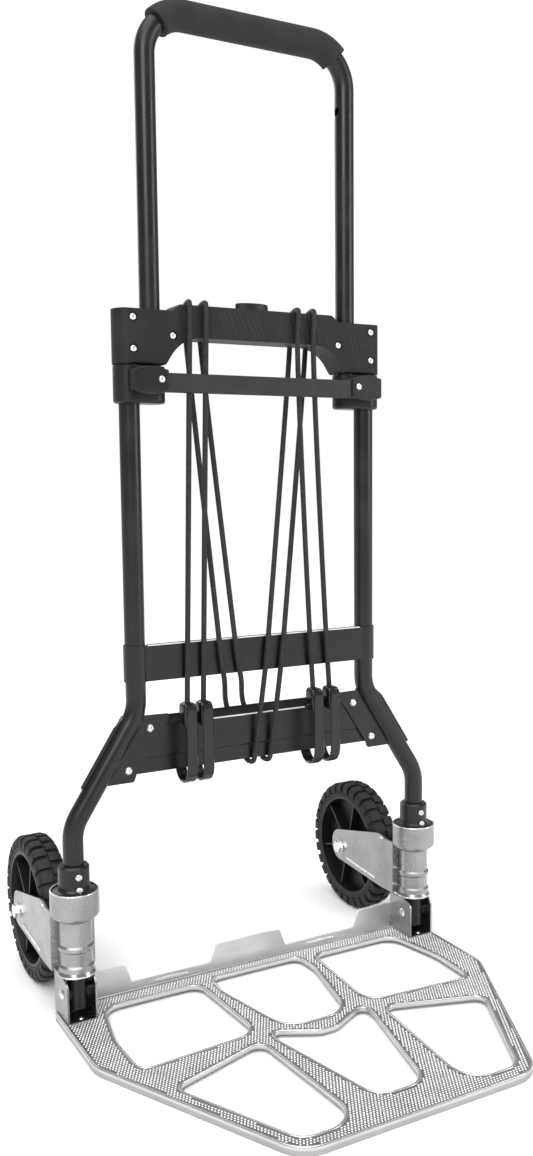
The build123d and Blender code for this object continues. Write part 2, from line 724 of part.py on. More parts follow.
def axle_nut():
    """The nut and washers on the axle, with the washer under the bolt's head."""
    edge = HUB_X - FORK_HALF_W
    nut = hexagon_x(14.0, edge - 6.0, edge - 1.5)
    washer = rod_x(8.5, edge - 1.5, edge, AXLE_ARM, WHEEL_Z)
    far_edge = HUB_X + FORK_HALF_W
    far_washer = rod_x(8.5, far_edge, far_edge + 1.5, AXLE_ARM, WHEEL_Z)
    bore = rod_x(AXLE_R, edge - 1.5, far_edge + 1.5, AXLE_ARM, WHEEL_Z)
    return [nut, washer - bore, far_washer - bore]


def axle_spacers():
    """Tubes on the axle that keep the wheel in the middle of the fork."""
    boss_end = WHEEL_W / 2 - 1.0 + GAP
    plate = FORK_HALF_W - FORK_T
    pieces = []
    for low, high in ((-plate, -boss_end), (boss_end, plate)):
        ring = rod_x(8.0, HUB_X + low, HUB_X + high, AXLE_ARM, WHEEL_Z)
        pieces.append(ring - rod_x(AXLE_R, HUB_X + low, HUB_X + high, AXLE_ARM, WHEEL_Z))
    return pieces


def wheel_profile(points):
    """A solid of revolution about the wheel axle from (radius, x from wheel middle) points."""
    face = make_face(Polyline(*points, close=True))
    solid = revolve(Plane.XZ * face, axis=Axis.Z)
    return at(HUB_X, AXLE_ARM, WHEEL_Z) * Rot(0, 90, 0) * solid


def wheel_rim():
    """Moulded wheel: boss, thin disc, six ribs a side and the bead ring under the tyre."""
    w = WHEEL_W / 2 - 1.0
    bore = AXLE_R + RUN
    boss_r = 14.0
    ring_r = RIM_R - 3.5
    profile = [
        (bore, -w),
        (boss_r, -w),
        (boss_r + 1, -1.5),
        (ring_r - 2, -1.5),
        (ring_r, -w),
        (RIM_R, -w),
        (RIM_R, w),
        (ring_r, w),
        (ring_r - 2, 1.5),
        (boss_r + 1, 1.5),
        (boss_r, w),
        (bore, w),
    ]
    solid = wheel_profile(profile)
    rib = Pos((boss_r + ring_r) / 2 - 1, 0, 0) * Box(ring_r - boss_r, 2.4, 2 * w - 6)
    for step in range(6):
        turn = Rot(0, 90, 0) * Rot(0, 0, 60 * step + 15)
        solid += at(HUB_X, AXLE_ARM, WHEEL_Z) * turn * rib
    return solid


def tyre():
    w = WHEEL_W / 2
    shoulder = 7.0
    profile = [
        (RIM_R, -w + 1.0),
        (RIM_R + 1, -w),
        (WHEEL_R - shoulder, -w),
        (WHEEL_R - 2, -w + 3.5),
        (WHEEL_R, -w + shoulder),
        (WHEEL_R, w - shoulder),
        (WHEEL_R - 2, w - 3.5),
        (WHEEL_R - shoulder, w),
        (RIM_R + 1, w),
        (RIM_R, w - 1.0),
    ]
    return wheel_profile(profile)


# --- toe plate -----------------------------------------------------------------------------
def plate_outline():
    front = -PLATE_REACH
    right = [
        (PLATE_FRONT_X, front, 38.0),
        (PLATE_HALF_W, -108.6, 40.0),
        (PLATE_HALF_W, FLANGE_Y, 14.0),
    ]
    return right + flipped(right)


MIDDLE_REAR = [(37.0, -133.0, 33.0), (59.8, -25.0, 60.0), (56.8, 9.8, 12.0)]
MIDDLE_FRONT = [(26.5, -286.6, 24.0), (57.8, -152.0, 50.0), (57.5, -131.0, 7.5), (9.5, -157.0, 18.0)]
SIDE_REAR = [(69.0, -125.2, 22.0), (201.5, -134.5, 12.0), (203.5, -70.0, 90.0), (189.0, 2.8, 22.0),
             (76.5, 3.2, 15.0)]
SIDE_FRONT = [(61.4, -309.0, 30.0), (121.4, -309.0, 22.0), (186.0, -180.4, 11.0), (75.0, -145.0, 12.0)]


def plate_openings():
    """The six openings, as corner lists measured from the swivel plane."""
    middles = [MIDDLE_REAR + flipped(MIDDLE_REAR), MIDDLE_FRONT + flipped(MIDDLE_FRONT)]
    sides = [SIDE_REAR, SIDE_FRONT]
    return middles + sides + [flipped(corners) for corners in sides]


OPENING_LIP = 2.0
OPENING_DEPTH = 4.5


def toe_plate():
    """One pressing: deck, down-turned rim, lipped openings and the upstand at the back."""
    face = outline(plate_outline())
    under = PLATE_TOP - PLATE_T
    solid = extrude(at(0, 0, under) * face, PLATE_T)
    rim = face - outline(grown(plate_outline(), -PLATE_RIM_T))
    solid += extrude(at(0, 0, 0) * rim, PLATE_TOP)
    for corners in plate_openings():
        lip = outline(grown(corners, OPENING_LIP))
        solid += extrude(at(0, 0, PLATE_TOP - OPENING_DEPTH) * lip, OPENING_DEPTH)
    for corners in plate_openings():
        solid -= extrude(at(0, 0, -1) * outline(corners), PLATE_TOP + 2)
    return solid + upstand()


def upstand():
    tab_x = 41.6
    tab_foot_x = 48.7
    side_x = 155.5
    side_foot_x = 149.0
    end_x = HUB_X - EAR_X - EAR_T / 2
    half = [
        (end_x, PLATE_TOP - PLATE_T, 0),
        (end_x, FLANGE_TAB_Z + 1, 0),
        (side_x, FLANGE_TAB_Z, 4.0),
        (side_foot_x, FLANGE_LOW_Z, 4.0),
        (tab_foot_x, FLANGE_LOW_Z, 4.0),
        (tab_x, FLANGE_TAB_Z, 4.0),
    ]
    return upright(outline(half + flipped(half)), FLANGE_Y - PLATE_T, FLANGE_Y)


def ear_bracket():
    """A U-shaped bracket: two ears, a foot on the deck and a wall at the back."""
    foot_z = PLATE_TOP + EAR_T
    front = -17.0
    back = FLANGE_Y - PLATE_T
    inner = HUB_X - EAR_X - EAR_T / 2
    outer = HUB_X + EAR_X + EAR_T / 2
    side = [
        (front, PLATE_TOP, 0),
        (back, PLATE_TOP, 0),
        (back, EAR_TOP_Z, 2.0),
        (front, EAR_TOP_Z, 0),
    ]
    plate = outline(side)
    nose = Pos(0, PIVOT_Z) * Circle(EAR_R)
    keep = nose + Pos(0, 0) * outline([(front, PLATE_TOP, 0), (back, PLATE_TOP, 0), (back, PIVOT_Z, 0),
                                       (front, PIVOT_Z, 0)])
    keep += outline([(0, PIVOT_Z, 0), (back, PIVOT_Z, 0), (back, EAR_TOP_Z, 2.0), (0, EAR_TOP_Z, 0)])
    shape = plate & keep
    solid = sideways(shape, inner, inner + EAR_T) + sideways(shape, outer - EAR_T, outer)
    solid += block(inner, outer, front, back, PLATE_TOP, foot_z)
    solid += block(inner, outer, back - EAR_T, back, PLATE_TOP, PIVOT_Z)
    return solid - rod_x(PIN_R + RUN, inner - 1, outer + 1, 0, PIVOT_Z)


def bracket_rivets():
    """Rivets that hold each bracket to the deck and the upstand, heads inside the channel."""
    pieces = []
    for side in (1, -1):
        for dy in (-10.0, 12.0):
            head = dome_head(3.2, 1.6)
            pieces.append(at(side * HUB_X, dy, PLATE_TOP + EAR_T) * head)
    return pieces


def pivot_pin():
    """The pin through both ears and the frame tube's foot, headed at both ends."""
    reach = EAR_X + EAR_T / 2 + GAP
    pin = rod_x(PIN_R, HUB_X - reach, HUB_X + reach, 0, PIVOT_Z)
    head = dome_head(5.5, 2.6)
    pin += at(HUB_X + reach, 0, PIVOT_Z) * Rot(0, 90, 0) * head
    return pin + at(HUB_X - reach, 0, PIVOT_Z) * Rot(0, -90, 0) * head


def pivot_bushes():
    """Plastic rings that centre the tube's foot between the ears."""
    ear_face = EAR_X - EAR_T / 2 - GAP
    pieces = []
    for low, high in ((-ear_face, -8.0), (8.0, ear_face)):
        ring = rod_x(8.0, HUB_X + low, HUB_X + high, 0, PIVOT_Z)
        ring -= rod_x(PIN_R, HUB_X + low, HUB_X + high, 0, PIVOT_Z)
        pieces.append(ring - rod_z(TUBE_R, 0, 2 * PIVOT_Z, HUB_X))
    return pieces + [mirrored(piece) for piece in pieces]


# --- elastic cords and their hooks ---------------------------------------------------------
# Points are (x, y from the swivel plane, z).  Each cord runs up from a hook in front of the
# band, over the housing, down behind it, in front of the band again, behind the panel and
# round its lower edge, and back up the same way to its other hook.
OUTER_CORD = [
    (-91.4, -12.5, 328.0),
    (-84.4, -22.0, 759.4),
    (-82.8, -16.6, 765.0),
    (-72.5, 16.6, 765.0),
    (-71.0, 22.0, 759.4),
    (-70.0, 20.8, 722.0),
    (-52.2, -14.2, 402.0),
    (-48.6, -13.6, 371.0),
    (-45.4, -12.6, 357.5),
    (-33.5, 12.0, 331.5),
    (-29.5, 14.0, 318.0),
    (-11.3, 9.6, 266.0),
    (-8.3, 8.2, 257.8),
    (-5.3, -1.8, 257.6),
    (-4.0, -3.2, 266.0),
    (5.2, -13.9, 368.0),
    (8.9, -13.9, 400.0),
    (59.7, 20.8, 722.0),
    (61.0, 22.0, 759.4),
    (59.6, 16.6, 765.0),
    (48.5, -16.6, 765.0),
    (47.0, -22.0, 759.4),
    (44.0, -21.2, 722.0),
    (61.8, -15.3, 402.0),
    (68.4, -12.5, 328.0),
]
INNER_CORD = [
    (-72.0, -12.5, 328.0),
    (-65.6, -22.0, 759.4),
    (-64.2, -16.6, 765.0),
    (-55.3, 16.6, 765.0),
    (-54.0, 22.0, 759.4),
    (-53.4, 20.8, 722.0),
    (-33.0, -14.2, 402.0),
    (-28.5, -13.6, 371.0),
    (-24.6, -12.6, 357.5),
    (-12.5, 12.0, 331.5),
    (-7.5, 14.0, 318.0),
    (9.4, 9.6, 266.0),
    (12.2, 8.2, 257.8),
    (15.2, -1.8, 257.6),
    (16.5, -3.2, 266.0),
    (25.0, -13.9, 368.0),
    (28.8, -13.9, 400.0),
    (80.5, 20.8, 722.0),
    (81.6, 22.0, 759.4),
    (80.2, 16.6, 765.0),
    (68.6, -16.6, 765.0),
    (67.2, -22.0, 759.4),
    (64.2, -21.2, 722.0),
    (83.4, -15.3, 402.0),
    (90.5, -12.5, 328.0),
]
CORD_BEND_LIMIT = 250.0  # the largest bend radius that a nearly straight corner is given


def bend_radii(points):
    """As large a bend at each corner as its two runs allow."""
    radii = []
    for before, here, after in zip(points, points[1:], points[2:]):
        run_in = Vector(*here) - Vector(*before)
        run_out = Vector(*after) - Vector(*here)
        half_turn = math.radians(run_in.get_angle(run_out)) / 2
        shorter = min(run_in.length, run_out.length)
        radii.append(min(0.45 * shorter / math.tan(half_turn), CORD_BEND_LIMIT))
    return radii


def cord(name, route):
    points = [(x, HUB_Y + y, z) for x, y, z in route]
    radii = bend_radii(points)
    path = FilletPolyline(*points, radius=radii)
    solid = swept(path, CORD_R)
    share = solid.volume / (math.pi * CORD_R**2 * path.length)
    listed = ", ".join(f"{r:.1f}" for r in radii)
    print(f"{name}: length {path.length:.1f} mm, bend radii {listed}")
    print(f"{name}: volume over section times length {share:.4f}")
    return solid


HOOK_TOP = 338.0
HOOK_HEAD_H = 25.0
HOOK_FRONT = 26.5
HOOK_SWEEP_Z = 266.0     # where the strap starts to curl
HOOK_CURL_R = 16.2


def hook(end, cord_solid):
    """A flat plastic hook: a head that grips the cord's end and a strap curled to catch."""
    x = end[0]
    y_strap = -HOOK_FRONT + HOOK_T / 2
    centre_y = y_strap + HOOK_CURL_R
    strap_top = HOOK_TOP - 5.0
    tip_z = HOOK_SWEEP_Z + 4.0
    arc = ThreePointArc(
        (y_strap, HOOK_SWEEP_Z), (centre_y, HOOK_SWEEP_Z - HOOK_CURL_R), (centre_y + HOOK_CURL_R, HOOK_SWEEP_Z)
    )
    line = Wire([Line((y_strap, strap_top), arc @ 0), arc, Line(arc @ 1, (centre_y + HOOK_CURL_R, tip_z))])
    placed = Pos(x, HUB_Y, 0) * (Plane.YZ * line)
    start = Plane(origin=placed @ 0, z_dir=placed % 0, x_dir=(1, 0, 0))
    strap = sweep(start * Rectangle(HOOK_W, HOOK_T), path=placed)
    head_back = -5.5
    head = at(x, (head_back - HOOK_FRONT + 1) / 2, HOOK_TOP - HOOK_HEAD_H / 2) * Box(
        HOOK_W + 3, HOOK_FRONT - 1 + head_back, HOOK_HEAD_H
    )
    head = fillet(head.edges().filter_by(Axis.Z), 4.0)
    return head + strap - cord_solid


# --- writing the parts ---------------------------------------------------------------------
def save_frame():
    save_pair("frame_tube", frame_tube())
    body = housing()
    save("housing_front", half_of_housing(body, True))
    save("housing_rear", half_of_housing(body, False))
    save_group("housing_screws", housing_screws())
    save("button_spring", button_spring())
    save("frame_band", band())
    save("lower_panel", panel())
    save_pair("gusset", gusset())
    save_group("gusset_rivets", gusset_rivets())
    save_pair("hub_collar", hub_collar())
    save_group("hub_screws", hub_screws())
    save_pair("swivel_spring", swivel_spring())
    save_pair("pivot_pin", pivot_pin())
    save_group("pivot_bushes", pivot_bushes())


def save_latch():
    save("release_button", release_button())
    save_pair("latch_rod", latch_rod())


def save_handle():
    save("handle_tube", handle_tube())
    save("hand_grip", grip())
    save_pair("collar", collar())
    save("slide_bar", slide_bar())
    save_pair("collar_cap", collar_cap())
    save_group("cap_screws", cap_screws())


def save_wheels():
    save_pair("swivel_sleeve", swivel_sleeve())
    save_pair("fork_bracket", fork_bracket())
    save_pair("axle_bolt", axle_bolt())
    save("right_axle_nut", Compound(axle_nut()))
    save("left_axle_nut", Compound([mirrored(piece) for piece in axle_nut()]))
    save("right_axle_spacers", Compound(axle_spacers()))
    save("left_axle_spacers", Compound([mirrored(piece) for piece in axle_spacers()]))
    save_pair("wheel_rim", wheel_rim())
    save_pair("tyre", tyre())


def save_plate():
    save("toe_plate", toe_plate())
    save_pair("ear_bracket", ear_bracket())
    save_group("bracket_rivets", bracket_rivets())


def save_cords():
    for name, route in (("outer", OUTER_CORD), ("inner", INNER_CORD)):
        solid = cord(f"{name}_cord", route)
        save(f"{name}_cord", solid)
        save(f"{name}_hook_left", hook(route[0], solid))
        save(f"{name}_hook_right", hook(route[-1], solid))


save_frame()
save_latch()
save_handle()
save_wheels()
save_plate()
save_cords()
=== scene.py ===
"""Finishes, fine shapes, elastic cords and studio of a folding hand truck.

Everything is in metres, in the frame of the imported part: +Z up, floor at z = 0, the toe
plate towards -Y and the wheels towards +Y. Pieces that repeat are made with Geometry Nodes
and turned into plain meshes. Each class below holds one sub-assembly.
"""

import json
import logging
import math
from dataclasses import dataclass, replace
from enum import Enum
from typing import Callable, Iterable, Optional, Sequence, Union

import bmesh
import bpy
import numpy as np
from mathutils import Matrix, Vector

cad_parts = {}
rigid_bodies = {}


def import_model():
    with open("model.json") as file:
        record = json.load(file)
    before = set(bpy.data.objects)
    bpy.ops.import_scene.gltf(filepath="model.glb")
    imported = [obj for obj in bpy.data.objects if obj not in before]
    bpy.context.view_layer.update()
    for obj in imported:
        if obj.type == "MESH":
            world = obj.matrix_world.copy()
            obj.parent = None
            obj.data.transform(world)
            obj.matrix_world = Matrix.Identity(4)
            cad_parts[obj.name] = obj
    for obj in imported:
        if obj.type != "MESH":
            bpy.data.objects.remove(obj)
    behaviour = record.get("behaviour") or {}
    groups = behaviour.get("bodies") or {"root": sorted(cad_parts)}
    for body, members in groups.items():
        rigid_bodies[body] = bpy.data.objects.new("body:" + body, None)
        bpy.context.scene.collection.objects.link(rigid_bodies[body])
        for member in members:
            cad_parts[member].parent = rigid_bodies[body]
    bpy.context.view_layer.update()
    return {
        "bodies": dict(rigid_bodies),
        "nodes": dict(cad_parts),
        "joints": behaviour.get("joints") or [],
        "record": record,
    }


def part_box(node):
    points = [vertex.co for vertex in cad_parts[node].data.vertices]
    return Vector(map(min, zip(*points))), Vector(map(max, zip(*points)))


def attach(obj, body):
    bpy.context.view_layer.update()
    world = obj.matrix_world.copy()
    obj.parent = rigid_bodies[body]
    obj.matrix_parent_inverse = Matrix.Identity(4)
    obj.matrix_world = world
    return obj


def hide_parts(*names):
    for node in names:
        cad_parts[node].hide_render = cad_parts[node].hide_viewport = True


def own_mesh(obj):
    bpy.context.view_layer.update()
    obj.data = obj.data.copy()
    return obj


LOG = logging.getLogger("hand_truck")

MM = 0.001
HUB_X = 0.220
HUB_Y = 0.055
TUBE_X = 0.1455
HANDLE_X = 0.1205
WHEEL_R = 0.084
AXLE_Y = HUB_Y + 0.133
PLATE_TOP = 0.008
HOUSING_FRONT = HUB_Y - 0.017
HUB_COLLAR_FRONT = HUB_Y - 0.0166
UPSTAND_FRONT = HUB_Y + 0.0267

Point = tuple[float, float, float]
Corner = tuple[float, float, float]
Span = tuple[float, float]
Value = Union["Maths", bpy.types.NodeSocket, float, tuple]


class Slot(Enum):
    """The record's material slots."""

    POWDER_COAT = "powder_coat"
    HOUSING_PLASTIC = "housing_plastic"
    COLLAR_PLASTIC = "collar_plastic"
    BUTTON_PLASTIC = "button_plastic"
    BAR_PLASTIC = "bar_plastic"
    GRIP_FOAM = "grip_foam"
    SCREW_STEEL = "screw_steel"
    SPRING_STEEL = "spring_steel"
    ZINC = "zinc"
    HUB_PLASTIC = "hub_plastic"
    PLATE_ALUMINIUM = "plate_aluminium"
    TYRE_RUBBER = "tyre_rubber"
    RIM_PLASTIC = "rim_plastic"
    CORD_BRAID = "cord_braid"
    HOOK_PLASTIC = "hook_plastic"


class Side(Enum):
    """The two sides of the truck, as the sign of x."""

    RIGHT = 1
    LEFT = -1

    @property
    def word(self) -> str:
        """The side's name as the bodies use it."""
        return self.name.lower()


# --- node trees ------------------------------------------------------------------------------
class NodeSheet:
    """A node tree that is filled through one method."""

    def __init__(self, tree: bpy.types.NodeTree) -> None:
        """Keeps the tree that the nodes go into."""
        self.tree = tree

    def node(
        self, kind: str, settings: Optional[dict] = None, inputs: Optional[dict] = None
    ) -> bpy.types.Node:
        """Adds a node.

        Args:
            kind: the node's type.
            settings: its properties, set first.
            inputs: values or links of its sockets, by name or number.

        Returns:
            The new node.
        """
        made = self.tree.nodes.new(kind)
        for name, value in (settings or {}).items():
            setattr(made, name, value)
        for key, value in (inputs or {}).items():
            self.feed(made.inputs[key], value)
        return made

    def feed(self, socket: bpy.types.NodeSocket, value: Value) -> None:
        """Links a socket to another one, or sets its value.

        Args:
            socket: the input.
            value: a plain value, a socket or a wrapped one.
        """
        source = value.socket if isinstance(value, Maths) else value
        if isinstance(source, bpy.types.NodeSocket):
            self.tree.links.new(source, socket)
        else:
            socket.default_value = source


class Maths:
    """A shader value that takes part in Python arithmetic."""

    def __init__(self, sheet: NodeSheet, socket: bpy.types.NodeSocket) -> None:
        """Wraps a socket of the sheet."""
        self.sheet = sheet
        self.socket = socket

    def worked(self, operation: str, *values: Value) -> "Maths":
        """Adds one Math node.

        Args:
            operation: what it works out.
            *values: its inputs, in their order.

        Returns:
            The result.
        """
        made = self.sheet.node(
            "ShaderNodeMath", {"operation": operation}, dict(enumerate(values))
        )
        return Maths(self.sheet, made.outputs[0])

    def __add__(self, other: Value) -> "Maths":
        """self + other."""
        return self.worked("ADD", self, other)

    __radd__ = __add__

    def __sub__(self, other: Value) -> "Maths":
        """self - other."""
        return self.worked("SUBTRACT", self, other)

    def __rsub__(self, other: Value) -> "Maths":
        """other - self."""
        return self.worked("SUBTRACT", other, self)

    def __mul__(self, other: Value) -> "Maths":
        """self * other."""
        return self.worked("MULTIPLY", self, other)

    __rmul__ = __mul__

    def __abs__(self) -> "Maths":
        """Its size without its sign."""
        return self.worked("ABSOLUTE", self)

    def sine(self) -> "Maths":
        """Sine of the value in radians."""
        return self.worked("SINE", self)

    def most(self, other: Value) -> "Maths":
        """The larger of the two."""
        return self.worked("MAXIMUM", self, other)

    def stepped(
        self, low: float, high: float, new_low: float = 0.0, new_high: float = 1.0
    ) -> "Maths":
        """Goes smoothly from one level to another as the value rises.

        Args:
            low: the value where the change starts.
            high: the value where it ends.
            new_low: the level before it.
            new_high: the level after it.

        Returns:
            The new value.
        """
        made = self.sheet.node(
            "ShaderNodeMapRange",
            {"interpolation_type": "SMOOTHSTEP"},
            {0: self, 1: low, 2: high, 3: new_low, 4: new_high},
        )
        return Maths(self.sheet, made.outputs[0])


class ShaderSheet(NodeSheet):
    """A material with one glossy shader, and the patterns that finishes are made from."""

    def __init__(self, name: str) -> None:
        """Makes the empty material.

        Args:
            name: the material's name.
        """
        self.material = bpy.data.materials.new(name)
        self.material.use_nodes = True
        super().__init__(self.material.node_tree)
        self.tree.nodes.clear()
        self.shader = self.node("ShaderNodeBsdfPrincipled")
        output = self.node("ShaderNodeOutputMaterial")
        self.tree.links.new(self.shader.outputs[0], output.inputs[0])
        self.where = self.node("ShaderNodeTexCoord").outputs["Object"]

    def noise(
        self, scale: float, detail: float = 3.0, stretch: Point = (1.0, 1.0, 1.0)
    ) -> Maths:
        """Cloudy noise.

        Args:
            scale: how many patches to a metre.
            detail: how many finer layers it has.
            stretch: how much denser it is along each axis.

        Returns:
            A value about 0.5.
        """
        mapped = self.node(
            "ShaderNodeMapping", {"vector_type": "POINT"}, {0: self.where, 3: stretch}
        )
        inputs = {"Vector": mapped.outputs[0], "Scale": scale, "Detail": detail}
        return Maths(self, self.node("ShaderNodeTexNoise", {}, inputs).outputs[0])

    def cells(self, scale: float) -> Maths:
        """Distance to the nearest cell centre, with that many cells to a metre."""
        made = self.node("ShaderNodeTexVoronoi", {}, {"Vector": self.where, "Scale": scale})
        return Maths(self, made.outputs["Distance"])

    def along(self) -> tuple[Maths, Maths]:
        """The piece's own pattern coordinates.

        Returns:
            The one round it and the one along it.
        """
        uv = self.node("ShaderNodeTexCoord").outputs["UV"]
        parts = self.node("ShaderNodeSeparateXYZ", {}, {0: uv})
        return Maths(self, parts.outputs[0]), Maths(self, parts.outputs[1])

    def axes(self) -> tuple[Maths, Maths, Maths]:
        """The three object coordinates, in metres."""
        parts = self.node("ShaderNodeSeparateXYZ", {}, {0: self.where})
        return tuple(Maths(self, parts.outputs[i]) for i in range(3))

    def mixed(
        self, mask: Value, first: Union[Point, bpy.types.NodeSocket], second: Point
    ) -> bpy.types.NodeSocket:
        """A colour between two.

        Args:
            mask: from 0 for the first to 1 for the second.
            first: a colour or a link to one.
            second: a colour.

        Returns:
            The mixed colour's socket.
        """
        start = (*first, 1.0) if isinstance(first, tuple) else first
        inputs = {0: mask, 6: start, 7: (*second, 1.0)}
        return self.node("ShaderNodeMix", {"data_type": "RGBA"}, inputs).outputs[2]

    def relief(self, height: Maths, depth: float, strength: float = 1.0) -> bpy.types.NodeSocket:
        """A bump.

        Args:
            height: the relief, from 0 to 1.
            depth: what a height of 1 is in metres.
            strength: how much of it shows.

        Returns:
            The normal's socket.
        """
        inputs = {"Strength": strength, "Distance": depth, "Height": height}
        return self.node("ShaderNodeBump", {}, inputs).outputs[0]

    def finish(self, **sockets: Value) -> bpy.types.Material:
        """Sets the shader's sockets.

        Args:
            **sockets: values or links, an underscore in a name standing for a space.

        Returns:
            The material.
        """
        for name, value in sockets.items():
            self.feed(self.shader.inputs[name.replace("_", " ")], value)
        return self.material


# --- finishes --------------------------------------------------------------------------------
NOISE_SPAN = (0.3, 0.7)  # where nearly all of a noise's values lie


@dataclass(frozen=True)
class PlainFinish:
    """Two tones in soft patches, with an uneven gloss and a fine relief.

    A pair for a noise is its scale and its detail. The gloss goes from its first roughness
    to its second with the patches, or with the grain where grain_gloss says so.
    """

    tone: Point
    other: Point
    gloss: Span
    patches: Span = (34.0, 3.0)
    edges: Span = (0.35, 0.7)
    grain: Span = (2600.0, 2.0)
    depth: float = 0.00007
    strength: float = 0.7
    grain_gloss: bool = False
    metal: float = 0.0
    shine: float = 0.5

    def build(self, sheet: ShaderSheet) -> bpy.types.Material:
        """Makes the material.

        Args:
            sheet: the empty material.

        Returns:
            The finished material.
        """
        patches = sheet.noise(*self.patches)
        grain = sheet.noise(*self.grain)
        uneven = grain if self.grain_gloss else patches
        return sheet.finish(
            Base_Color=sheet.mixed(patches.stepped(*self.edges), self.tone, self.other),
            Metallic=self.metal,
            Roughness=uneven.stepped(*NOISE_SPAN, *self.gloss),
            Normal=sheet.relief(grain, self.depth, self.strength),
            Specular_IOR_Level=self.shine,
        )


def moulded(
    colour: Point,
    roughness: float,
    grain: float = 2600.0,
    depth: float = 0.00007,
    shine: float = 0.32,
) -> PlainFinish:
    """Moulded plastic with a fine spark-eroded grain.

    Args:
        colour: its darker tone.
        roughness: about the middle of its gloss.
        grain: how fine the grain is.
        depth: how deep the grain is, in metres.
        shine: how strong its reflections are.

    Returns:
        The finish.
    """
    lighter = tuple(channel * 1.35 for channel in colour)
    gloss = (roughness - 0.05, roughness + 0.06)
    return PlainFinish(
        colour, lighter, gloss, grain=(grain, 2.0), depth=depth, grain_gloss=True, shine=shine
    )


@dataclass(frozen=True)
class GripFoam:
    """Matte closed-cell foam."""

    colour: Point = (0.010, 0.010, 0.011)
    dusty: Point = (0.021, 0.021, 0.022)

    def build(self, sheet: ShaderSheet) -> bpy.types.Material:
        """Makes the material.

        Args:
            sheet: the empty material.

        Returns:
            The finished material.
        """
        cells = sheet.cells(1500.0)
        soft = sheet.noise(60.0, 4.0)
        height = cells * 0.7 + sheet.noise(700.0, 3.0) * 0.5
        return sheet.finish(
            Base_Color=sheet.mixed(soft.stepped(0.35, 0.7), self.colour, self.dusty),
            Roughness=soft.stepped(*NOISE_SPAN, 0.72, 0.86),
            Normal=sheet.relief(height, 0.0003, 0.6),
            Specular_IOR_Level=0.42,
        )


@dataclass(frozen=True)
class ZincPlate:
    """Satin zinc with a faint spangle and worn patches."""

    light: Point = (0.36, 0.36, 0.37)
    dark: Point = (0.29, 0.295, 0.30)
    roughness: float = 0.25

    def build(self, sheet: ShaderSheet) -> bpy.types.Material:
        """Makes the material.

        Args:
            sheet: the empty material.

        Returns:
            The finished material.
        """
        spangle = sheet.cells(420.0)
        cloud = sheet.noise(30.0, 5.0)
        mask = (cloud * 0.85 + spangle * 0.2).stepped(0.38, 0.78)
        return sheet.finish(
            Base_Color=sheet.mixed(mask, self.light, self.dark),
            Metallic=1.0,
            Roughness=mask * 0.12 + self.roughness,
            Normal=sheet.relief(sheet.noise(600.0, 3.0), 0.00002, 0.4),
        )


@dataclass(frozen=True)
class DeckAluminium:
    """Satin pressed aluminium, faintly brushed, with painted shade on the flat deck between the
    bumps and on its lower walls.
    """

    light: Point = (0.62, 0.62, 0.625)
    dark: Point = (0.52, 0.52, 0.53)
    # The darker tone that paints shade on the flat deck and on the walls below it.
    grime: Point = (0.33, 0.33, 0.335)
    roughness: float = 0.34
    metal: float = 0.85

    def build(self, sheet: ShaderSheet) -> bpy.types.Material:
        """Makes the material; the deck's flat top lies at one height.

        Args:
            sheet: the empty material.

        Returns:
            The finished material.
        """
        brushed = sheet.noise(1.0, 3.0, (30.0, 1500.0, 1500.0))
        cloud = sheet.noise(24.0, 4.0)
        mask = (brushed * 0.4 + cloud * 0.6).stepped(0.42, 0.72)
        height = sheet.axes()[2]
        # The flat deck between the bumps, and the walls below about 6 mm, take the darker tone:
        # painted shade.
        flat = abs(height - PLATE_TOP).stepped(0.00015, 0.0004, 1.0, 0.0)
        skirt = height.stepped(0.0040, 0.0062, 0.8, 0.0)
        unshaded = sheet.mixed(mask, self.light, self.dark)
        return sheet.finish(
            Base_Color=sheet.mixed(flat.most(skirt), unshaded, self.grime),
            Metallic=self.metal,
            Roughness=cloud.stepped(*NOISE_SPAN, self.roughness - 0.05, self.roughness + 0.08),
            Normal=sheet.relief(brushed, 0.00003, 0.4),
        )


@dataclass(frozen=True)
class BraidedSleeve:
    """Woven cover of an elastic cord: two crossing sets of yarns with pale flecks."""

    colour: Point = (0.0065, 0.0065, 0.007)
    fleck: Point = (0.13, 0.13, 0.135)
    yarns: float = 8.0
    turns: float = 70.0

    def build(self, sheet: ShaderSheet) -> bpy.types.Material:
        """Makes the material; the cord's second coordinate is its length in metres.

        Args:
            sheet: the empty material.

        Returns:
            The finished material.
        """
        round_it, along_it = sheet.along()
        lead = along_it * (self.turns * 4)
        one = ((round_it * self.yarns + lead) * math.tau).sine()
        two = ((round_it * self.yarns - lead) * math.tau).sine()
        weave = one.most(two)
        specks = (one * two).stepped(0.55, 0.95) * sheet.noise(420.0, 2.0).stepped(0.45, 0.62)
        return sheet.finish(
            Base_Color=sheet.mixed(specks, self.colour, self.fleck),
            Roughness=weave.stepped(-0.2, 1.0, 0.82, 0.55),
            Normal=sheet.relief(weave * 0.5 + sheet.noise(2200.0, 2.0) * 0.3, 0.0005, 0.8),
        )


POWDER_COAT = PlainFinish(
    (0.0045, 0.0045, 0.005), (0.0085, 0.0085, 0.009), (0.26, 0.37), (26.0, 4.0), (0.42, 0.72),
    (1900.0, 2.0), 0.00012, 0.45, shine=0.42,
)
PLATED_STEEL = PlainFinish(
    (0.82, 0.82, 0.84), (0.66, 0.66, 0.68), (0.24, 0.36), (420.0, 3.0), (0.4, 0.7),
    (2400.0, 2.0), 0.00002, 0.4, metal=1.0,
)
DRAWN_WIRE = PlainFinish(
    (0.52, 0.52, 0.54), (0.34, 0.34, 0.36), (0.24, 0.4), (900.0, 3.0), (0.35, 0.7),
    (900.0, 3.0), 0.00004, 0.5, metal=1.0,
)
TYRE_RUBBER = PlainFinish(
    (0.0085, 0.0085, 0.009), (0.020, 0.020, 0.020), (0.56, 0.74), (120.0, 5.0), (0.42, 0.75),
    (1300.0, 4.0), 0.00015, 0.6, shine=0.4,
)
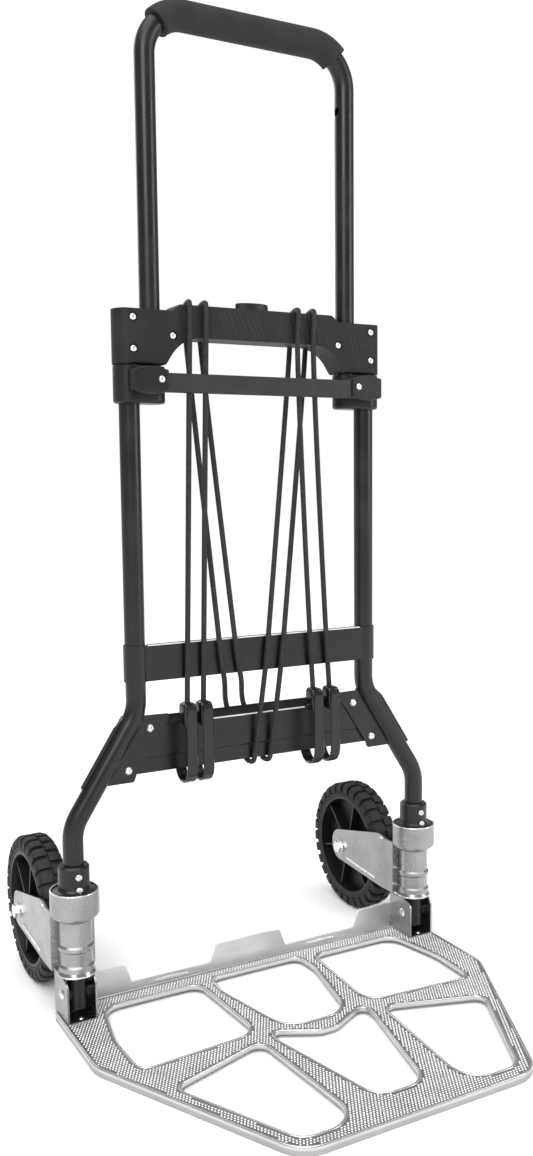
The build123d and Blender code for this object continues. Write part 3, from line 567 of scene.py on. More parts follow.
# A pale copy of the deck's aluminium: it paints the highlights on the deck's bumps, the upstand's
# ribs and its cut edge.
PAINTED_HIGHLIGHT_ALUMINIUM = PlainFinish(
    (0.90, 0.90, 0.905), (0.74, 0.74, 0.75), (0.23, 0.34), (55.0, 4.0), (0.35, 0.75),
    (1400.0, 2.0), 0.00003, 0.3, grain_gloss=True, metal=0.8,
)
ROLLED_ALUMINIUM = replace(
    PAINTED_HIGHLIGHT_ALUMINIUM,
    tone=(0.60, 0.60, 0.61),
    other=(0.50, 0.50, 0.51),
    gloss=(0.21, 0.32),
    metal=0.9,
)
# A pale copy of the powder coat: it paints the highlight along the top bends of the band and of
# the lower panel.
PAINTED_HIGHLIGHT_COAT = replace(
    POWDER_COAT, tone=(0.66, 0.66, 0.67), other=(0.78, 0.78, 0.79), gloss=(0.21, 0.32)
)
AnyFinish = Union[PlainFinish, GripFoam, ZincPlate, DeckAluminium, BraidedSleeve]

FINISHES: dict[Slot, AnyFinish] = {
    Slot.POWDER_COAT: POWDER_COAT,
    Slot.HOUSING_PLASTIC: moulded((0.0145, 0.0145, 0.0152), 0.54, shine=0.2),
    Slot.COLLAR_PLASTIC: moulded((0.0085, 0.0085, 0.009), 0.36, 1800.0, 0.00004),
    Slot.BUTTON_PLASTIC: moulded((0.012, 0.012, 0.013), 0.40),
    Slot.BAR_PLASTIC: moulded((0.023, 0.023, 0.024), 0.44, shine=0.25),
    Slot.GRIP_FOAM: GripFoam(),
    Slot.SCREW_STEEL: PLATED_STEEL,
    Slot.SPRING_STEEL: DRAWN_WIRE,
    Slot.ZINC: ZincPlate(),
    Slot.HUB_PLASTIC: moulded((0.006, 0.006, 0.0065), 0.28, 1500.0, 0.00004, shine=0.4),
    Slot.PLATE_ALUMINIUM: DeckAluminium(),
    Slot.TYRE_RUBBER: TYRE_RUBBER,
    Slot.RIM_PLASTIC: moulded((0.007, 0.007, 0.0075), 0.42, 1600.0, 0.00006),
    Slot.CORD_BRAID: BraidedSleeve(),
    Slot.HOOK_PLASTIC: moulded((0.0055, 0.0055, 0.006), 0.2, 900.0, 0.00003, shine=0.45),
}


# --- the bench: materials, meshes and pieces --------------------------------------------------
class Bench:
    """Makes pieces, gives them their finish and puts them on their bodies."""

    def __init__(self, frame: dict) -> None:
        """Builds every finish once.
        """
        self.frame = frame
        self.materials = {slot: FINISHES[slot].build(ShaderSheet(slot.value)) for slot in Slot}
        # A pale aluminium that paints the highlights on the deck's bumps and on the upstand.
        self.rubbed = PAINTED_HIGHLIGHT_ALUMINIUM.build(ShaderSheet("rubbed_aluminium"))
        self.rolled = ROLLED_ALUMINIUM.build(ShaderSheet("rolled_aluminium"))
        # A pale copy of the powder coat that paints the highlight on the band's and the panel's
        # bends.
        self.bare_edge = PAINTED_HIGHLIGHT_COAT.build(ShaderSheet("worn_coat_edge"))
        # A pale copy of the zinc that paints the highlights on the swivels' rims and the fork's
        # ridges.
        bright = ZincPlate((0.86, 0.86, 0.87), (0.74, 0.74, 0.75), 0.2)
        self.zinc_edge = bright.build(ShaderSheet("bright_zinc_edge"))

    def dress_nodes(self) -> None:
        """Gives every carried-over node the finish of its slot."""
        for part in self.frame["record"]["subparts"]:
            node = self.frame["nodes"][part["node"]]
            finish = self.materials[Slot(part["material_slot"])]
            if not node.material_slots:
                node.data.materials.append(finish)
            for place in node.material_slots:
                place.link = "OBJECT"
                place.material = finish
            LOG.info("node %s: %s", part["node"], finish.name)

    def piece(
        self,
        name: str,
        mesh: bpy.types.Mesh,
        body: str,
        slot: Slot,
        replaces: Sequence[str] = (),
        finish: Optional[bpy.types.Material] = None,
    ) -> bpy.types.Object:
        """Puts a finished mesh on its body.

        Args:
            name: the piece's name.
            mesh: the mesh, in its place.
            body: the body that it rides on.
            slot: the material slot that its finish comes from.
            replaces: carried-over nodes that it stands for.
            finish: its material where that isn't the slot's own.

        Returns:
            The new object.
        """
        mesh.name = name
        mesh.materials.clear()
        mesh.materials.append(finish or self.materials[slot])
        made = bpy.data.objects.new(name, mesh)
        bpy.context.scene.collection.objects.link(made)
        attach(made, body)
        if replaces:
            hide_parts(*replaces)
        LOG.info("piece %s: %d faces on %s", name, len(mesh.polygons), body)
        return made


def mesh_of(
    points: Sequence[Sequence[float]],
    faces: Iterable[Sequence[int]],
    smooth: bool = True,
    keep: float = 35.0,
) -> bpy.types.Mesh:
    """Makes a mesh.

    Args:
        points: its corners in metres.
        faces: corner numbers of each face.
        smooth: whether its faces are shaded smoothly.
        keep: edges sharper than this many degrees stay sharp.

    Returns:
        The new mesh.
    """
    mesh = bpy.data.meshes.new("mesh")
    mesh.from_pydata([tuple(map(float, p)) for p in points], [], [tuple(f) for f in faces])
    mesh.validate()
    if smooth:
        mesh.shade_smooth()
        mesh.set_sharp_from_angle(angle=math.radians(keep))
    mesh.update()
    return mesh


def loose(points: Sequence[Point], edges: Sequence[tuple[int, int]] = ()) -> bpy.types.Mesh:
    """A mesh of bare points and edges, for a tree to work on.

    Args:
        points: its points in metres.
        edges: pairs of point numbers.

    Returns:
        The new mesh.
    """
    mesh = bpy.data.meshes.new("loose")
    mesh.from_pydata(points, edges, [])
    return mesh


def outward(mesh: bpy.types.Mesh) -> bpy.types.Mesh:
    """Turns the faces of closed shells outwards.

    Args:
        mesh: the mesh that is changed.

    Returns:
        The same mesh.
    """
    work = bmesh.new()
    work.from_mesh(mesh)
    bmesh.ops.recalc_face_normals(work, faces=work.faces)
    work.to_mesh(mesh)
    work.free()
    return mesh


def skin_faces(rings: int, n: int) -> list[tuple[int, ...]]:
    """The faces of a closed skin through rings of points.

    Args:
        rings: how many rings there are.
        n: how many points each ring has.

    Returns:
        The quads, ring by ring, then the first and the last end.
    """
    faces: list[tuple[int, ...]] = []
    for k in range(rings - 1):
        for i in range(n):
            j = (i + 1) % n
            faces.append((k * n + i, k * n + j, (k + 1) * n + j, (k + 1) * n + i))
    return faces + [tuple(reversed(range(n))), tuple(range((rings - 1) * n, rings * n))]


def lofted(rings: Sequence[Sequence[Point]], keep: float = 24.0) -> bpy.types.Mesh:
    """A closed skin through rings, with both ends filled.

    Args:
        rings: rings of equally many points.
        keep: edges sharper than this many degrees stay sharp.

    Returns:
        The new mesh.
    """
    points = [point for ring in rings for point in ring]
    return outward(mesh_of(points, skin_faces(len(rings), len(rings[0])), keep=keep))


def joined(parts: Sequence[bpy.types.Mesh]) -> bpy.types.Mesh:
    """Puts several meshes into one.

    Args:
        parts: the meshes, which stay as they are.

    Returns:
        The new mesh.
    """
    points: list[tuple] = []
    faces: list[tuple] = []
    for part in parts:
        start = len(points)
        points += [tuple(v.co) for v in part.vertices]
        faces += [tuple(start + i for i in f.vertices) for f in part.polygons]
    return mesh_of(points, faces)


def lathed(profile: Sequence[tuple[float, float]], count: int, closed: bool) -> bpy.types.Mesh:
    """Turns a profile about the X axis.

    Args:
        profile: (x, radius) pairs; the outside lies to the left going along it.
        count: how many steps there are round.
        closed: whether the profile's end joins its start.

    Returns:
        The turned mesh, about the origin.
    """
    points = [
        (x, r * math.cos(math.tau * k / count), r * math.sin(math.tau * k / count))
        for k in range(count)
        for x, r in profile
    ]
    n = len(profile)
    spans = range(n if closed else n - 1)
    faces = []
    for k in range(count):
        here, there = k * n, ((k + 1) % count) * n
        faces += [(here + i, here + (i + 1) % n, there + (i + 1) % n, there + i) for i in spans]
    return mesh_of(points, faces)


def rounded(corners: Sequence[Corner], steps: int = 12) -> np.ndarray:
    """The closed line of a corner list with arcs at its corners.

    Args:
        corners: (x, y, radius) in millimetres.
        steps: how many spans each arc has.

    Returns:
        Points in millimetres, in order.
    """
    line = []
    count = len(corners)
    for i, (x, y, radius) in enumerate(corners):
        here = np.array((x, y))
        before = np.array(corners[i - 1][:2]) - here
        after = np.array(corners[(i + 1) % count][:2]) - here
        before, after = before / np.linalg.norm(before), after / np.linalg.norm(after)
        half = math.acos(float(np.clip(before @ after, -1, 1))) / 2
        middle = (before + after) / np.linalg.norm(before + after)
        centre = here + middle * radius / math.sin(half)
        start = here + before * radius / math.tan(half) - centre
        end = here + after * radius / math.tan(half) - centre
        sweep = math.atan2(start[0] * end[1] - start[1] * end[0], start @ end)
        for k in range(steps + 1):
            turn = sweep * k / steps
            c, s = math.cos(turn), math.sin(turn)
            line.append(centre + (c * start[0] - s * start[1], s * start[0] + c * start[1]))
    return np.array(line)


def shifted(line: np.ndarray, inward: float) -> np.ndarray:
    """Moves a closed line inwards, each point along its own normal.

    Args:
        line: points in millimetres.
        inward: how far, outwards where it is below 0.

    Returns:
        The moved points.
    """
    along = np.roll(line, -1, 0) - np.roll(line, 1, 0)
    normal = np.stack([-along[:, 1], along[:, 0]], 1)
    normal /= np.maximum(np.linalg.norm(normal, axis=1, keepdims=True), 1e-9)
    x, y = line[:, 0], line[:, 1]
    area = float(np.sum(x * np.roll(y, -1) - np.roll(x, -1) * y))
    return line + normal * inward * (1 if area > 0 else -1)


def flipped(corners: Sequence[Corner]) -> list[Corner]:
    """The mirror image of a corner list, in the same turning sense."""
    return [(-x, y, r) for x, y, r in reversed(corners)]


# --- geometry nodes ---------------------------------------------------------------------------
class RepeatTree(NodeSheet):
    """A Geometry Nodes tree with named inputs, ending in real geometry with a material."""

    def __init__(self, name: str, sockets: Sequence[tuple[str, str]]) -> None:
        """Makes the tree.

        Args:
            name: the tree's name.
            sockets: (name, socket type) of each input after the geometry.
        """
        super().__init__(bpy.data.node_groups.new(name, "GeometryNodeTree"))
        face = self.tree.interface
        face.new_socket("Geometry", in_out="INPUT", socket_type="NodeSocketGeometry")
        face.new_socket("Geometry", in_out="OUTPUT", socket_type="NodeSocketGeometry")
        for label, kind in (*sockets, ("Material", "NodeSocketMaterial")):
            face.new_socket(label, in_out="INPUT", socket_type=kind)
        self.given = self.node("NodeGroupInput")
        self.result = self.node("NodeGroupOutput")

    def close(self, geometry: bpy.types.NodeSocket) -> None:
        """Ends the tree in Realize Instances and Set Material.

        Args:
            geometry: what the tree has made so far.
        """
        real = self.node("GeometryNodeRealizeInstances", {}, {0: geometry})
        smooth = self.node("GeometryNodeSetShadeSmooth", {}, {0: real.outputs[0]})
        painted = self.node(
            "GeometryNodeSetMaterial",
            {},
            {"Geometry": smooth.outputs[0], "Material": self.given.outputs["Material"]},
        )
        self.tree.links.new(painted.outputs[0], self.result.inputs[0])

    def spread(
        self, points: bpy.types.NodeSocket, instance: bpy.types.NodeSocket, **more: Value
    ) -> None:
        """Puts a copy on every point and ends the tree.

        Args:
            points: where the copies go.
            instance: what is copied.
            **more: other inputs of the node.
        """
        inputs = {"Points": points, "Instance": instance, **more}
        self.close(self.node("GeometryNodeInstanceOnPoints", {}, inputs).outputs[0])

    def made(self, base: bpy.types.Mesh, values: dict[str, object]) -> bpy.types.Mesh:
        """Runs the tree on a mesh.

        Args:
            base: the mesh that goes in.
            values: the named inputs.

        Returns:
            The result as a plain mesh.
        """
        holder = bpy.data.objects.new("holder", base)
        bpy.context.scene.collection.objects.link(holder)
        modifier = holder.modifiers.new("repeat", "NODES")
        modifier.node_group = self.tree
        for item in self.tree.interface.items_tree:
            if item.in_out == "INPUT" and item.name in values:
                modifier[item.identifier] = values[item.name]
        ready = holder.evaluated_get(bpy.context.evaluated_depsgraph_get())
        mesh = bpy.data.meshes.new_from_object(ready)
        bpy.data.objects.remove(holder)
        return mesh


def ring_tree() -> RepeatTree:
    """Copies the mesh that goes in round the X axis, evenly.

    Returns:
        The tree, with the inputs Count and Step.
    """
    sheet = RepeatTree("ring_of_blocks", (("Count", "NodeSocketInt"), ("Step", "NodeSocketFloat")))
    given = sheet.given.outputs
    points = sheet.node("GeometryNodePoints", {}, {"Count": given["Count"]})
    turn = Maths(sheet, sheet.node("GeometryNodeInputIndex").outputs[0]) * given["Step"]
    turned = sheet.node("ShaderNodeCombineXYZ", {}, {0: turn})
    sheet.spread(points.outputs[0], given["Geometry"], Rotation=turned.outputs[0])
    return sheet


def bump_tree() -> RepeatTree:
    """Puts a low round bump on every point that goes in.

    Returns:
        The tree, with the inputs Radius, Squash and Detail.
    """
    radius, squash = ("Radius", "NodeSocketFloat"), ("Squash", "NodeSocketVector")
    sheet = RepeatTree("bumps_on_points", (radius, squash, ("Detail", "NodeSocketInt")))
    given = sheet.given.outputs
    sizes = {"Radius": given["Radius"], "Subdivisions": given["Detail"]}
    ball = sheet.node("GeometryNodeMeshIcoSphere", {}, sizes)
    sheet.spread(given["Geometry"], ball.outputs[0], Scale=given["Squash"])
    return sheet


def bead_tree() -> RepeatTree:
    """Sweeps a round bead along every line that goes in.

    Returns:
        The tree, with the input Radius.
    """
    sheet = RepeatTree("bead_along_lines", (("Radius", "NodeSocketFloat"),))
    given = sheet.given.outputs
    line = sheet.node("GeometryNodeMeshToCurve", {}, {"Mesh": given["Geometry"]})
    ring = sheet.node(
        "GeometryNodeCurvePrimitiveCircle", {}, {"Resolution": 14, "Radius": given["Radius"]}
    )
    swept = sheet.node(
        "GeometryNodeCurveToMesh",
        {},
        {"Curve": line.outputs[0], "Profile Curve": ring.outputs[0], "Fill Caps": True},
    )
    sheet.close(swept.outputs[0])
    return sheet


def head_tree() -> RepeatTree:
    """Puts a screw head on every point that goes in.

    Returns:
        The tree, with the input Head.
    """
    sheet = RepeatTree("heads_on_points", (("Head", "NodeSocketObject"),))
    given = sheet.given.outputs
    head = sheet.node("GeometryNodeObjectInfo", {}, {"Object": given["Head"]})
    sheet.spread(given["Geometry"], head.outputs["Geometry"])
    return sheet


# --- the studio -------------------------------------------------------------------------------
@dataclass
class Studio:
    """Pale floor, soft lights and the camera."""

    eye: Point = (-0.5699, -1.0318, 0.5786)
    yaw: float = 28.891
    pitch: float = 6.054
    roll: float = -0.533
    lens: float = 34.104
    shift: Span = (-0.01005, 0.01482)
    aim: Point = (0.0, 0.0, 0.45)
    floor_z: float = -0.0004
    floor_reach: float = 60.0
    floor_tone: float = 0.95
    glow: float = 0.42
    overhead: float = 2.3

    def build(self) -> None:
        """Makes everything that isn't the truck."""
        self.floor()
        self.sky()
        bpy.context.scene.view_settings.view_transform = "Standard"
        self.light("key", (-1.9, -2.3, 2.2), (1.3, 1.5), 46.0)
        self.light("fill", (2.1, -1.7, 1.3), (0.8, 1.8), 24.0)
        self.light("back", (-0.6, 2.6, 1.7), (2.0, 1.6), 16.0)
        self.sun()
        self.camera()

    def floor(self) -> None:
        """A wide plain floor."""
        signs = ((-1, -1), (1, -1), (1, 1), (-1, 1))
        corners = [(a * self.floor_reach, b * self.floor_reach, self.floor_z) for a, b in signs]
        mesh = mesh_of(corners, [(0, 1, 2, 3)], smooth=False)
        sheet = ShaderSheet("studio_floor")
        tone = self.floor_tone
        mesh.materials.append(sheet.finish(Base_Color=(tone, tone, tone, 1.0), Roughness=0.9))
        floor = bpy.data.objects.new("studio_floor", mesh)
        bpy.context.scene.collection.objects.link(floor)

    def sky(self) -> None:
        """An even pale surround."""
        world = bpy.data.worlds.new("studio")
        world.use_nodes = True
        sheet = NodeSheet(world.node_tree)
        sheet.tree.nodes.clear()
        seen = sheet.node("ShaderNodeLightPath").outputs["Is Camera Ray"]
        level = Maths(sheet, seen) * (1.0 - self.glow) + self.glow
        back = sheet.node("ShaderNodeBackground", {}, {0: (1.0, 1.0, 1.0, 1.0), 1: level})
        output = sheet.node("ShaderNodeOutputWorld")
        sheet.tree.links.new(back.outputs[0], output.inputs[0])
        bpy.context.scene.world = world

    def light(self, name: str, place: Point, size: Span, power: float) -> None:
        """Adds a soft rectangular light that faces the truck's middle.

        Args:
            name: the light's name.
            place: where it stands.
            size: its width and height in metres.
            power: in watts.
        """
        lamp = bpy.data.lights.new(name, "AREA")
        lamp.shape = "RECTANGLE"
        lamp.size, lamp.size_y = size
        lamp.energy = power
        made = bpy.data.objects.new(name, lamp)
        made.location = place
        aim = Vector(self.aim) - Vector(place)
        made.rotation_euler = aim.to_track_quat("-Z", "Y").to_euler()
        bpy.context.scene.collection.objects.link(made)

    def sun(self) -> None:
        """A very wide, even light from above, which keeps the floor pale to its far edge."""
        lamp = bpy.data.lights.new("overhead", "SUN")
        lamp.energy = self.overhead
        lamp.angle = math.radians(70.0)
        made = bpy.data.objects.new("overhead", lamp)
        made.rotation_euler = (math.radians(14.0), math.radians(-12.0), 0.0)
        bpy.context.scene.collection.objects.link(made)

    def camera(self) -> None:
        """The camera, from its place, its three angles and its lens."""
        yaw, pitch, roll = (math.radians(a) for a in (self.yaw, self.pitch, self.roll))
        ahead = Vector(
            (math.sin(yaw) * math.cos(pitch), math.cos(yaw) * math.cos(pitch), -math.sin(pitch))
        )
        level = Vector((math.cos(yaw), -math.sin(yaw), 0.0))
        up = level.cross(ahead)
        right = level * math.cos(roll) + up * math.sin(roll)
        top = up * math.cos(roll) - level * math.sin(roll)
        lens = bpy.data.cameras.new("camera")
        lens.sensor_fit = "AUTO"
        lens.sensor_width = 36.0
        lens.lens = self.lens
        lens.shift_x, lens.shift_y = self.shift
        lens.clip_start, lens.clip_end = 0.02, 200.0
        made = bpy.data.objects.new("camera", lens)
        turn = Matrix((right, top, -ahead)).transposed().to_4x4()
        made.matrix_world = Matrix.Translation(self.eye) @ turn
        bpy.context.scene.collection.objects.link(made)
        bpy.context.scene.camera = made


# --- elastic cords ----------------------------------------------------------------------------
# millimetres across, behind the swivels' plane and up, from the left hook to the right one
OUTER_ROUTE = (
    (-91.4, -12.5, 328), (-90.8, -13.3, 364), (-85.0, -21.2, 723), (-84.4, -22, 759.4),
    (-82.8, -16.6, 765), (-72.5, 16.6, 765), (-71, 22, 759.4), (-70, 20.8, 722),
    (-52.2, -14.2, 402), (-48.6, -13.6, 371), (-45.4, -12.6, 357.5), (-33.5, 12, 331.5),
    (-29.5, 14, 318), (-11.3, 9.6, 266), (-8.3, 8.2, 257.8), (-5.3, -1.8, 257.6),
    (-4, -3.2, 266), (5.2, -13.9, 368), (8.9, -13.9, 400), (59.7, 20.8, 722),
    (61, 22, 759.4), (59.6, 16.6, 765), (48.5, -16.6, 765), (47, -22, 759.4),
    (44, -21.2, 722), (61.8, -15.3, 402), (68.4, -12.5, 328),
)
INNER_ROUTE = (
    (-72, -12.5, 328), (-71.5, -13.3, 364), (-66.1, -21.2, 723), (-65.6, -22, 759.4),
    (-64.2, -16.6, 765), (-55.3, 16.6, 765), (-54, 22, 759.4), (-53.4, 20.8, 722),
    (-33, -14.2, 402), (-28.5, -13.6, 371), (-24.6, -12.6, 357.5), (-12.5, 12, 331.5),
    (-7.5, 14, 318), (9.4, 9.6, 266), (12.2, 8.2, 257.8), (15.2, -1.8, 257.6),
    (16.5, -3.2, 266), (25, -13.9, 368), (28.8, -13.9, 400), (80.5, 20.8, 722),
    (81.6, 22, 759.4), (80.2, 16.6, 765), (68.6, -16.6, 765), (67.2, -22, 759.4),
    (64.2, -21.2, 722), (83.4, -15.3, 402), (90.5, -12.5, 328),
)


@dataclass
class CordHooks:
    """Glossy moulded hooks: a head that grips the cord, a flat strap and a faceted curl."""

    bench: Bench
    half_width: float = 6.0
    half_thick: float = 1.5
    curl: float = 16.2
    strap_y: float = -25.0
    curl_z: float = 266.0
    chamfer: float = 0.9
    curl_steps: int = 7

    # the node that each hook stands for, and the hook's middle in millimetres
    PLACES = (
        ("outer_hook_left", -91.4), ("outer_hook_right", 68.4),
        ("inner_hook_left", -72.0), ("inner_hook_right", 90.5),
    )
    # slices of the head in millimetres: height, half width, front, back
    HEAD = (
        (338.2, 4.6, -20.0, -7.6), (337.2, 6.5, -21.6, -6.2), (334.6, 7.4, -22.6, -5.5),
        (324.0, 7.6, -23.0, -5.3), (316.5, 7.2, -23.4, -6.5), (313.0, 6.2, -23.6, -10.0),
    )

    def build(self) -> dict[str, bpy.types.Object]:
        """Makes the hooks.

        Returns:
            Each hook by the node that it stands for.
        """
        made = {}
        for node, x in self.PLACES:
            mesh = joined([self.head(x), self.strap(x)])
            mesh.set_sharp_from_angle(angle=math.radians(24))
            name = node.replace("hook", "moulded_hook")
            made[node] = self.bench.piece(name, mesh, "frame", Slot.HOOK_PLASTIC, [node])
        return made

    def head(self, x: float) -> bpy.types.Mesh:
        """The head, as level slices with rounded corners.

        Args:
            x: the hook's middle, in millimetres.

        Returns:
            The closed head.
        """
        rings = []
        for z, half, front, back in self.HEAD:
            round_by = 3.2 if half > 5.0 else 2.2
            corners = [(x - half, front, round_by), (x + half, front, round_by)]
            corners += [(x + half, back, round_by), (x - half, back, round_by)]
            rings.append([self.placed(px, py, z) for px, py in rounded(corners, 4)])
        return lofted(rings, 30.0)

    def strap(self, x: float) -> bpy.types.Mesh:
        """The strap and its curl, as one chamfered bar along its middle line.

        Args:
            x: the hook's middle, in millimetres.

        Returns:
            The closed strap.
        """
        line = [(self.strap_y + 2.6, 334.6), (self.strap_y + 0.1, 331.0), (self.strap_y, 326.0)]
        line += [(self.strap_y, 300.0), (self.strap_y, self.curl_z)]
        middle = self.strap_y + self.curl
        for k in range(1, self.curl_steps + 1):
            turn = math.pi * k / self.curl_steps
            ahead, down = self.curl * math.cos(turn), self.curl * math.sin(turn)
            line.append((middle - ahead, self.curl_z - down))
        line.append((middle + self.curl, self.curl_z + 4.0))
        rings = []
        for k, (y, z) in enumerate(line):
            before, after = line[max(0, k - 1)], line[min(len(line) - 1, k + 1)]
            along = np.array((after[0] - before[0], after[1] - before[1]))
            along /= np.linalg.norm(along)
            out = np.array((along[1], -along[0]))
            wide = self.half_width + (0.35 if 4 <= k < len(line) - 1 else 0.0)
            thick, cut = self.half_thick, self.chamfer
            section = [(wide, thick - cut), (wide - cut, thick), (cut - wide, thick)]
            section += [(-wide, thick - cut), (-wide, cut - thick), (cut - wide, -thick)]
            section += [(wide - cut, -thick), (wide, cut - thick)]
            rings.append([self.placed(x + a, y + out[0] * b, z + out[1] * b) for a, b in section])
        return lofted(rings)

    @staticmethod
    def placed(x: float, y: float, z: float) -> Point:
        """Millimetres from the swivels' plane, as metres in the part's frame."""
        return (x * MM, HUB_Y + y * MM, z * MM)


@dataclass
class ElasticCords:
    """Two braided elastic cords, each with a hook at both ends."""

    bench: Bench
    diameter: float = 0.006
    length: float = 2.0
    sides: int = 12

    def build(self) -> None:
        hooks = CordHooks(self.bench).build()
        for name, route in (("outer", OUTER_ROUTE), ("inner", INNER_ROUTE)):
            line = self.centreline(route)
            mesh = self.tube(line)
            cord = self.bench.piece(
                f"{name}_braided_cord", mesh, "frame", Slot.CORD_BRAID, [f"{name}_cord"]
            )

    def centreline(self, route: Sequence[Point]) -> np.ndarray:
        """The smooth line of a route.

        Args:
            route: places in millimetres from the swivels' plane.

        Returns:
            Points in metres, in order.
        """
        curve = bpy.data.curves.new("route", "CURVE")
        curve.dimensions = "3D"
        curve.resolution_u = 14
        spline = curve.splines.new("NURBS")
        spline.points.add(len(route) - 1)
        for point, (x, y, z) in zip(spline.points, route):
            point.co = (x * MM, HUB_Y + y * MM, z * MM, 1.0)
        spline.order_u = 3
        spline.use_endpoint_u = True
        holder = bpy.data.objects.new("route", curve)
        bpy.context.scene.collection.objects.link(holder)
        bpy.context.view_layer.update()
        mesh = bpy.data.meshes.new_from_object(holder)
        line = np.array([v.co[:] for v in mesh.vertices])
        bpy.data.objects.remove(holder)
        bpy.data.meshes.remove(mesh)
        return line

    def tube(self, line: np.ndarray) -> bpy.types.Mesh:
        """A closed round tube along a line, with its pattern laid round and along it.

        Args:
            line: points in metres, in order.

        Returns:
            The closed tube.
        """
        step = np.diff(line, axis=0)
        run = np.concatenate([[0.0], np.cumsum(np.linalg.norm(step, axis=1))])
        tangent = np.gradient(line, axis=0)
        tangent /= np.linalg.norm(tangent, axis=1, keepdims=True)
        side = np.cross(tangent[0], (0.3, 1.0, 0.1))
        n, count = self.sides, len(line)
        turns = np.arange(n) * math.tau / n
        points = []
        for place, ahead in zip(line, tangent):
            side = side - ahead * (side @ ahead)
            side /= np.linalg.norm(side)
            other = np.cross(ahead, side)
            ring = np.cos(turns)[:, None] * side + np.sin(turns)[:, None] * other
            points += [tuple(p) for p in place + ring * self.diameter / 2]
        uvs = []
        for k in range(count - 1):
            for i in range(n):
                low, high = i / n, (i + 1) / n
                uvs += [(low, run[k]), (high, run[k]), (high, run[k + 1]), (low, run[k + 1])]
        uvs += [(0.0, 0.0)] * (2 * n)
        mesh = mesh_of(points, skin_faces(count, n), keep=70.0)
        layer = mesh.uv_layers.new(name="braid")
        for place, uv in zip(layer.data, uvs):
            place.uv = uv
        return mesh


# --- wheels -----------------------------------------------------------------------------------
@dataclass
class Tyres:
    """Solid tyres: a plain carcass with two staggered rows of shoulder blocks."""

    bench: Bench
    half_width: float = 0.017
    rim_radius: float = 0.066
    groove: float = 0.0806
    blocks: int = 30
    fill: float = 0.66

    def build(self) -> None:
        """Makes both tyres."""
        step = math.tau / self.blocks
        tree = ring_tree()
        for side in Side:
            rows = []
            for hand, lead in ((1, 0.0), (-1, step / 2)):
                values = {"Count": self.blocks, "Step": step}
                rows.append(tree.made(self.block(hand, lead, step * self.fill), values))
            mesh = outward(joined([self.carcass(), *rows]))
            mesh.transform(Matrix.Translation((side.value * HUB_X, AXLE_Y, WHEEL_R)))
            mesh.set_sharp_from_angle(angle=math.radians(32))
            name = f"{side.word}_treaded_tyre"
            body = f"{side.word}_wheel"
            self.bench.piece(name, mesh, body, Slot.TYRE_RUBBER, [f"{side.word}_tyre"])

    def carcass(self) -> bpy.types.Mesh:
        """The tyre without its blocks.

        Returns:
            The closed ring, about the wheel's middle.
        """
        w, g, r = self.half_width, self.groove, self.rim_radius
        half = [(w - 0.0012, r), (w - 0.0004, r + 0.0008), (w - 0.0004, r + 0.0035)]
        half += [(w - 0.0014, r + 0.0055), (w - 0.0018, g - 0.0075), (w - 0.0034, g - 0.0032)]
        half += [(w - 0.0075, g - 0.0006), (0.0016, g)]
        profile = half + [(-x, radius) for x, radius in reversed(half)]
        return lathed(profile, 120, True)

    def block(self, hand: int, lead: float, sweep: float) -> bpy.types.Mesh:
        """One tread block, from near the middle over the shoulder onto the side.

        Args:
            hand: 1 or -1, which half of the tread it lies on.
            lead: angle of its middle.
            sweep: the angle that it covers.

        Returns:
            The closed block, about the wheel's middle.
        """
        w, top = self.half_width, WHEEL_R
        line = [(0.0010, self.groove - 0.001), (0.0010, top - 0.0005), (0.0016, top)]
        line += [(w - 0.0068, top), (w - 0.0034, top - 0.0012), (w - 0.0008, top - 0.0044)]
        line += [(w, top - 0.0075), (w - 0.0002, top - 0.0125), (w - 0.0026, top - 0.0135)]
        line += [(w - 0.0040, top - 0.0080)]
        spans = 4
        points = []
        for k in range(spans + 1):
            angle = lead + sweep * (k / spans - 0.5)
            inset = 0.0004 if k in (0, spans) else 0.0
            for x, r in line:
                r = r - inset if r > self.groove else r
                points.append((hand * x, r * math.cos(angle), r * math.sin(angle)))
        faces = skin_faces(spans + 1, len(line))
        if hand < 0:
            faces = [tuple(reversed(f)) for f in faces]
        return mesh_of(points, faces)


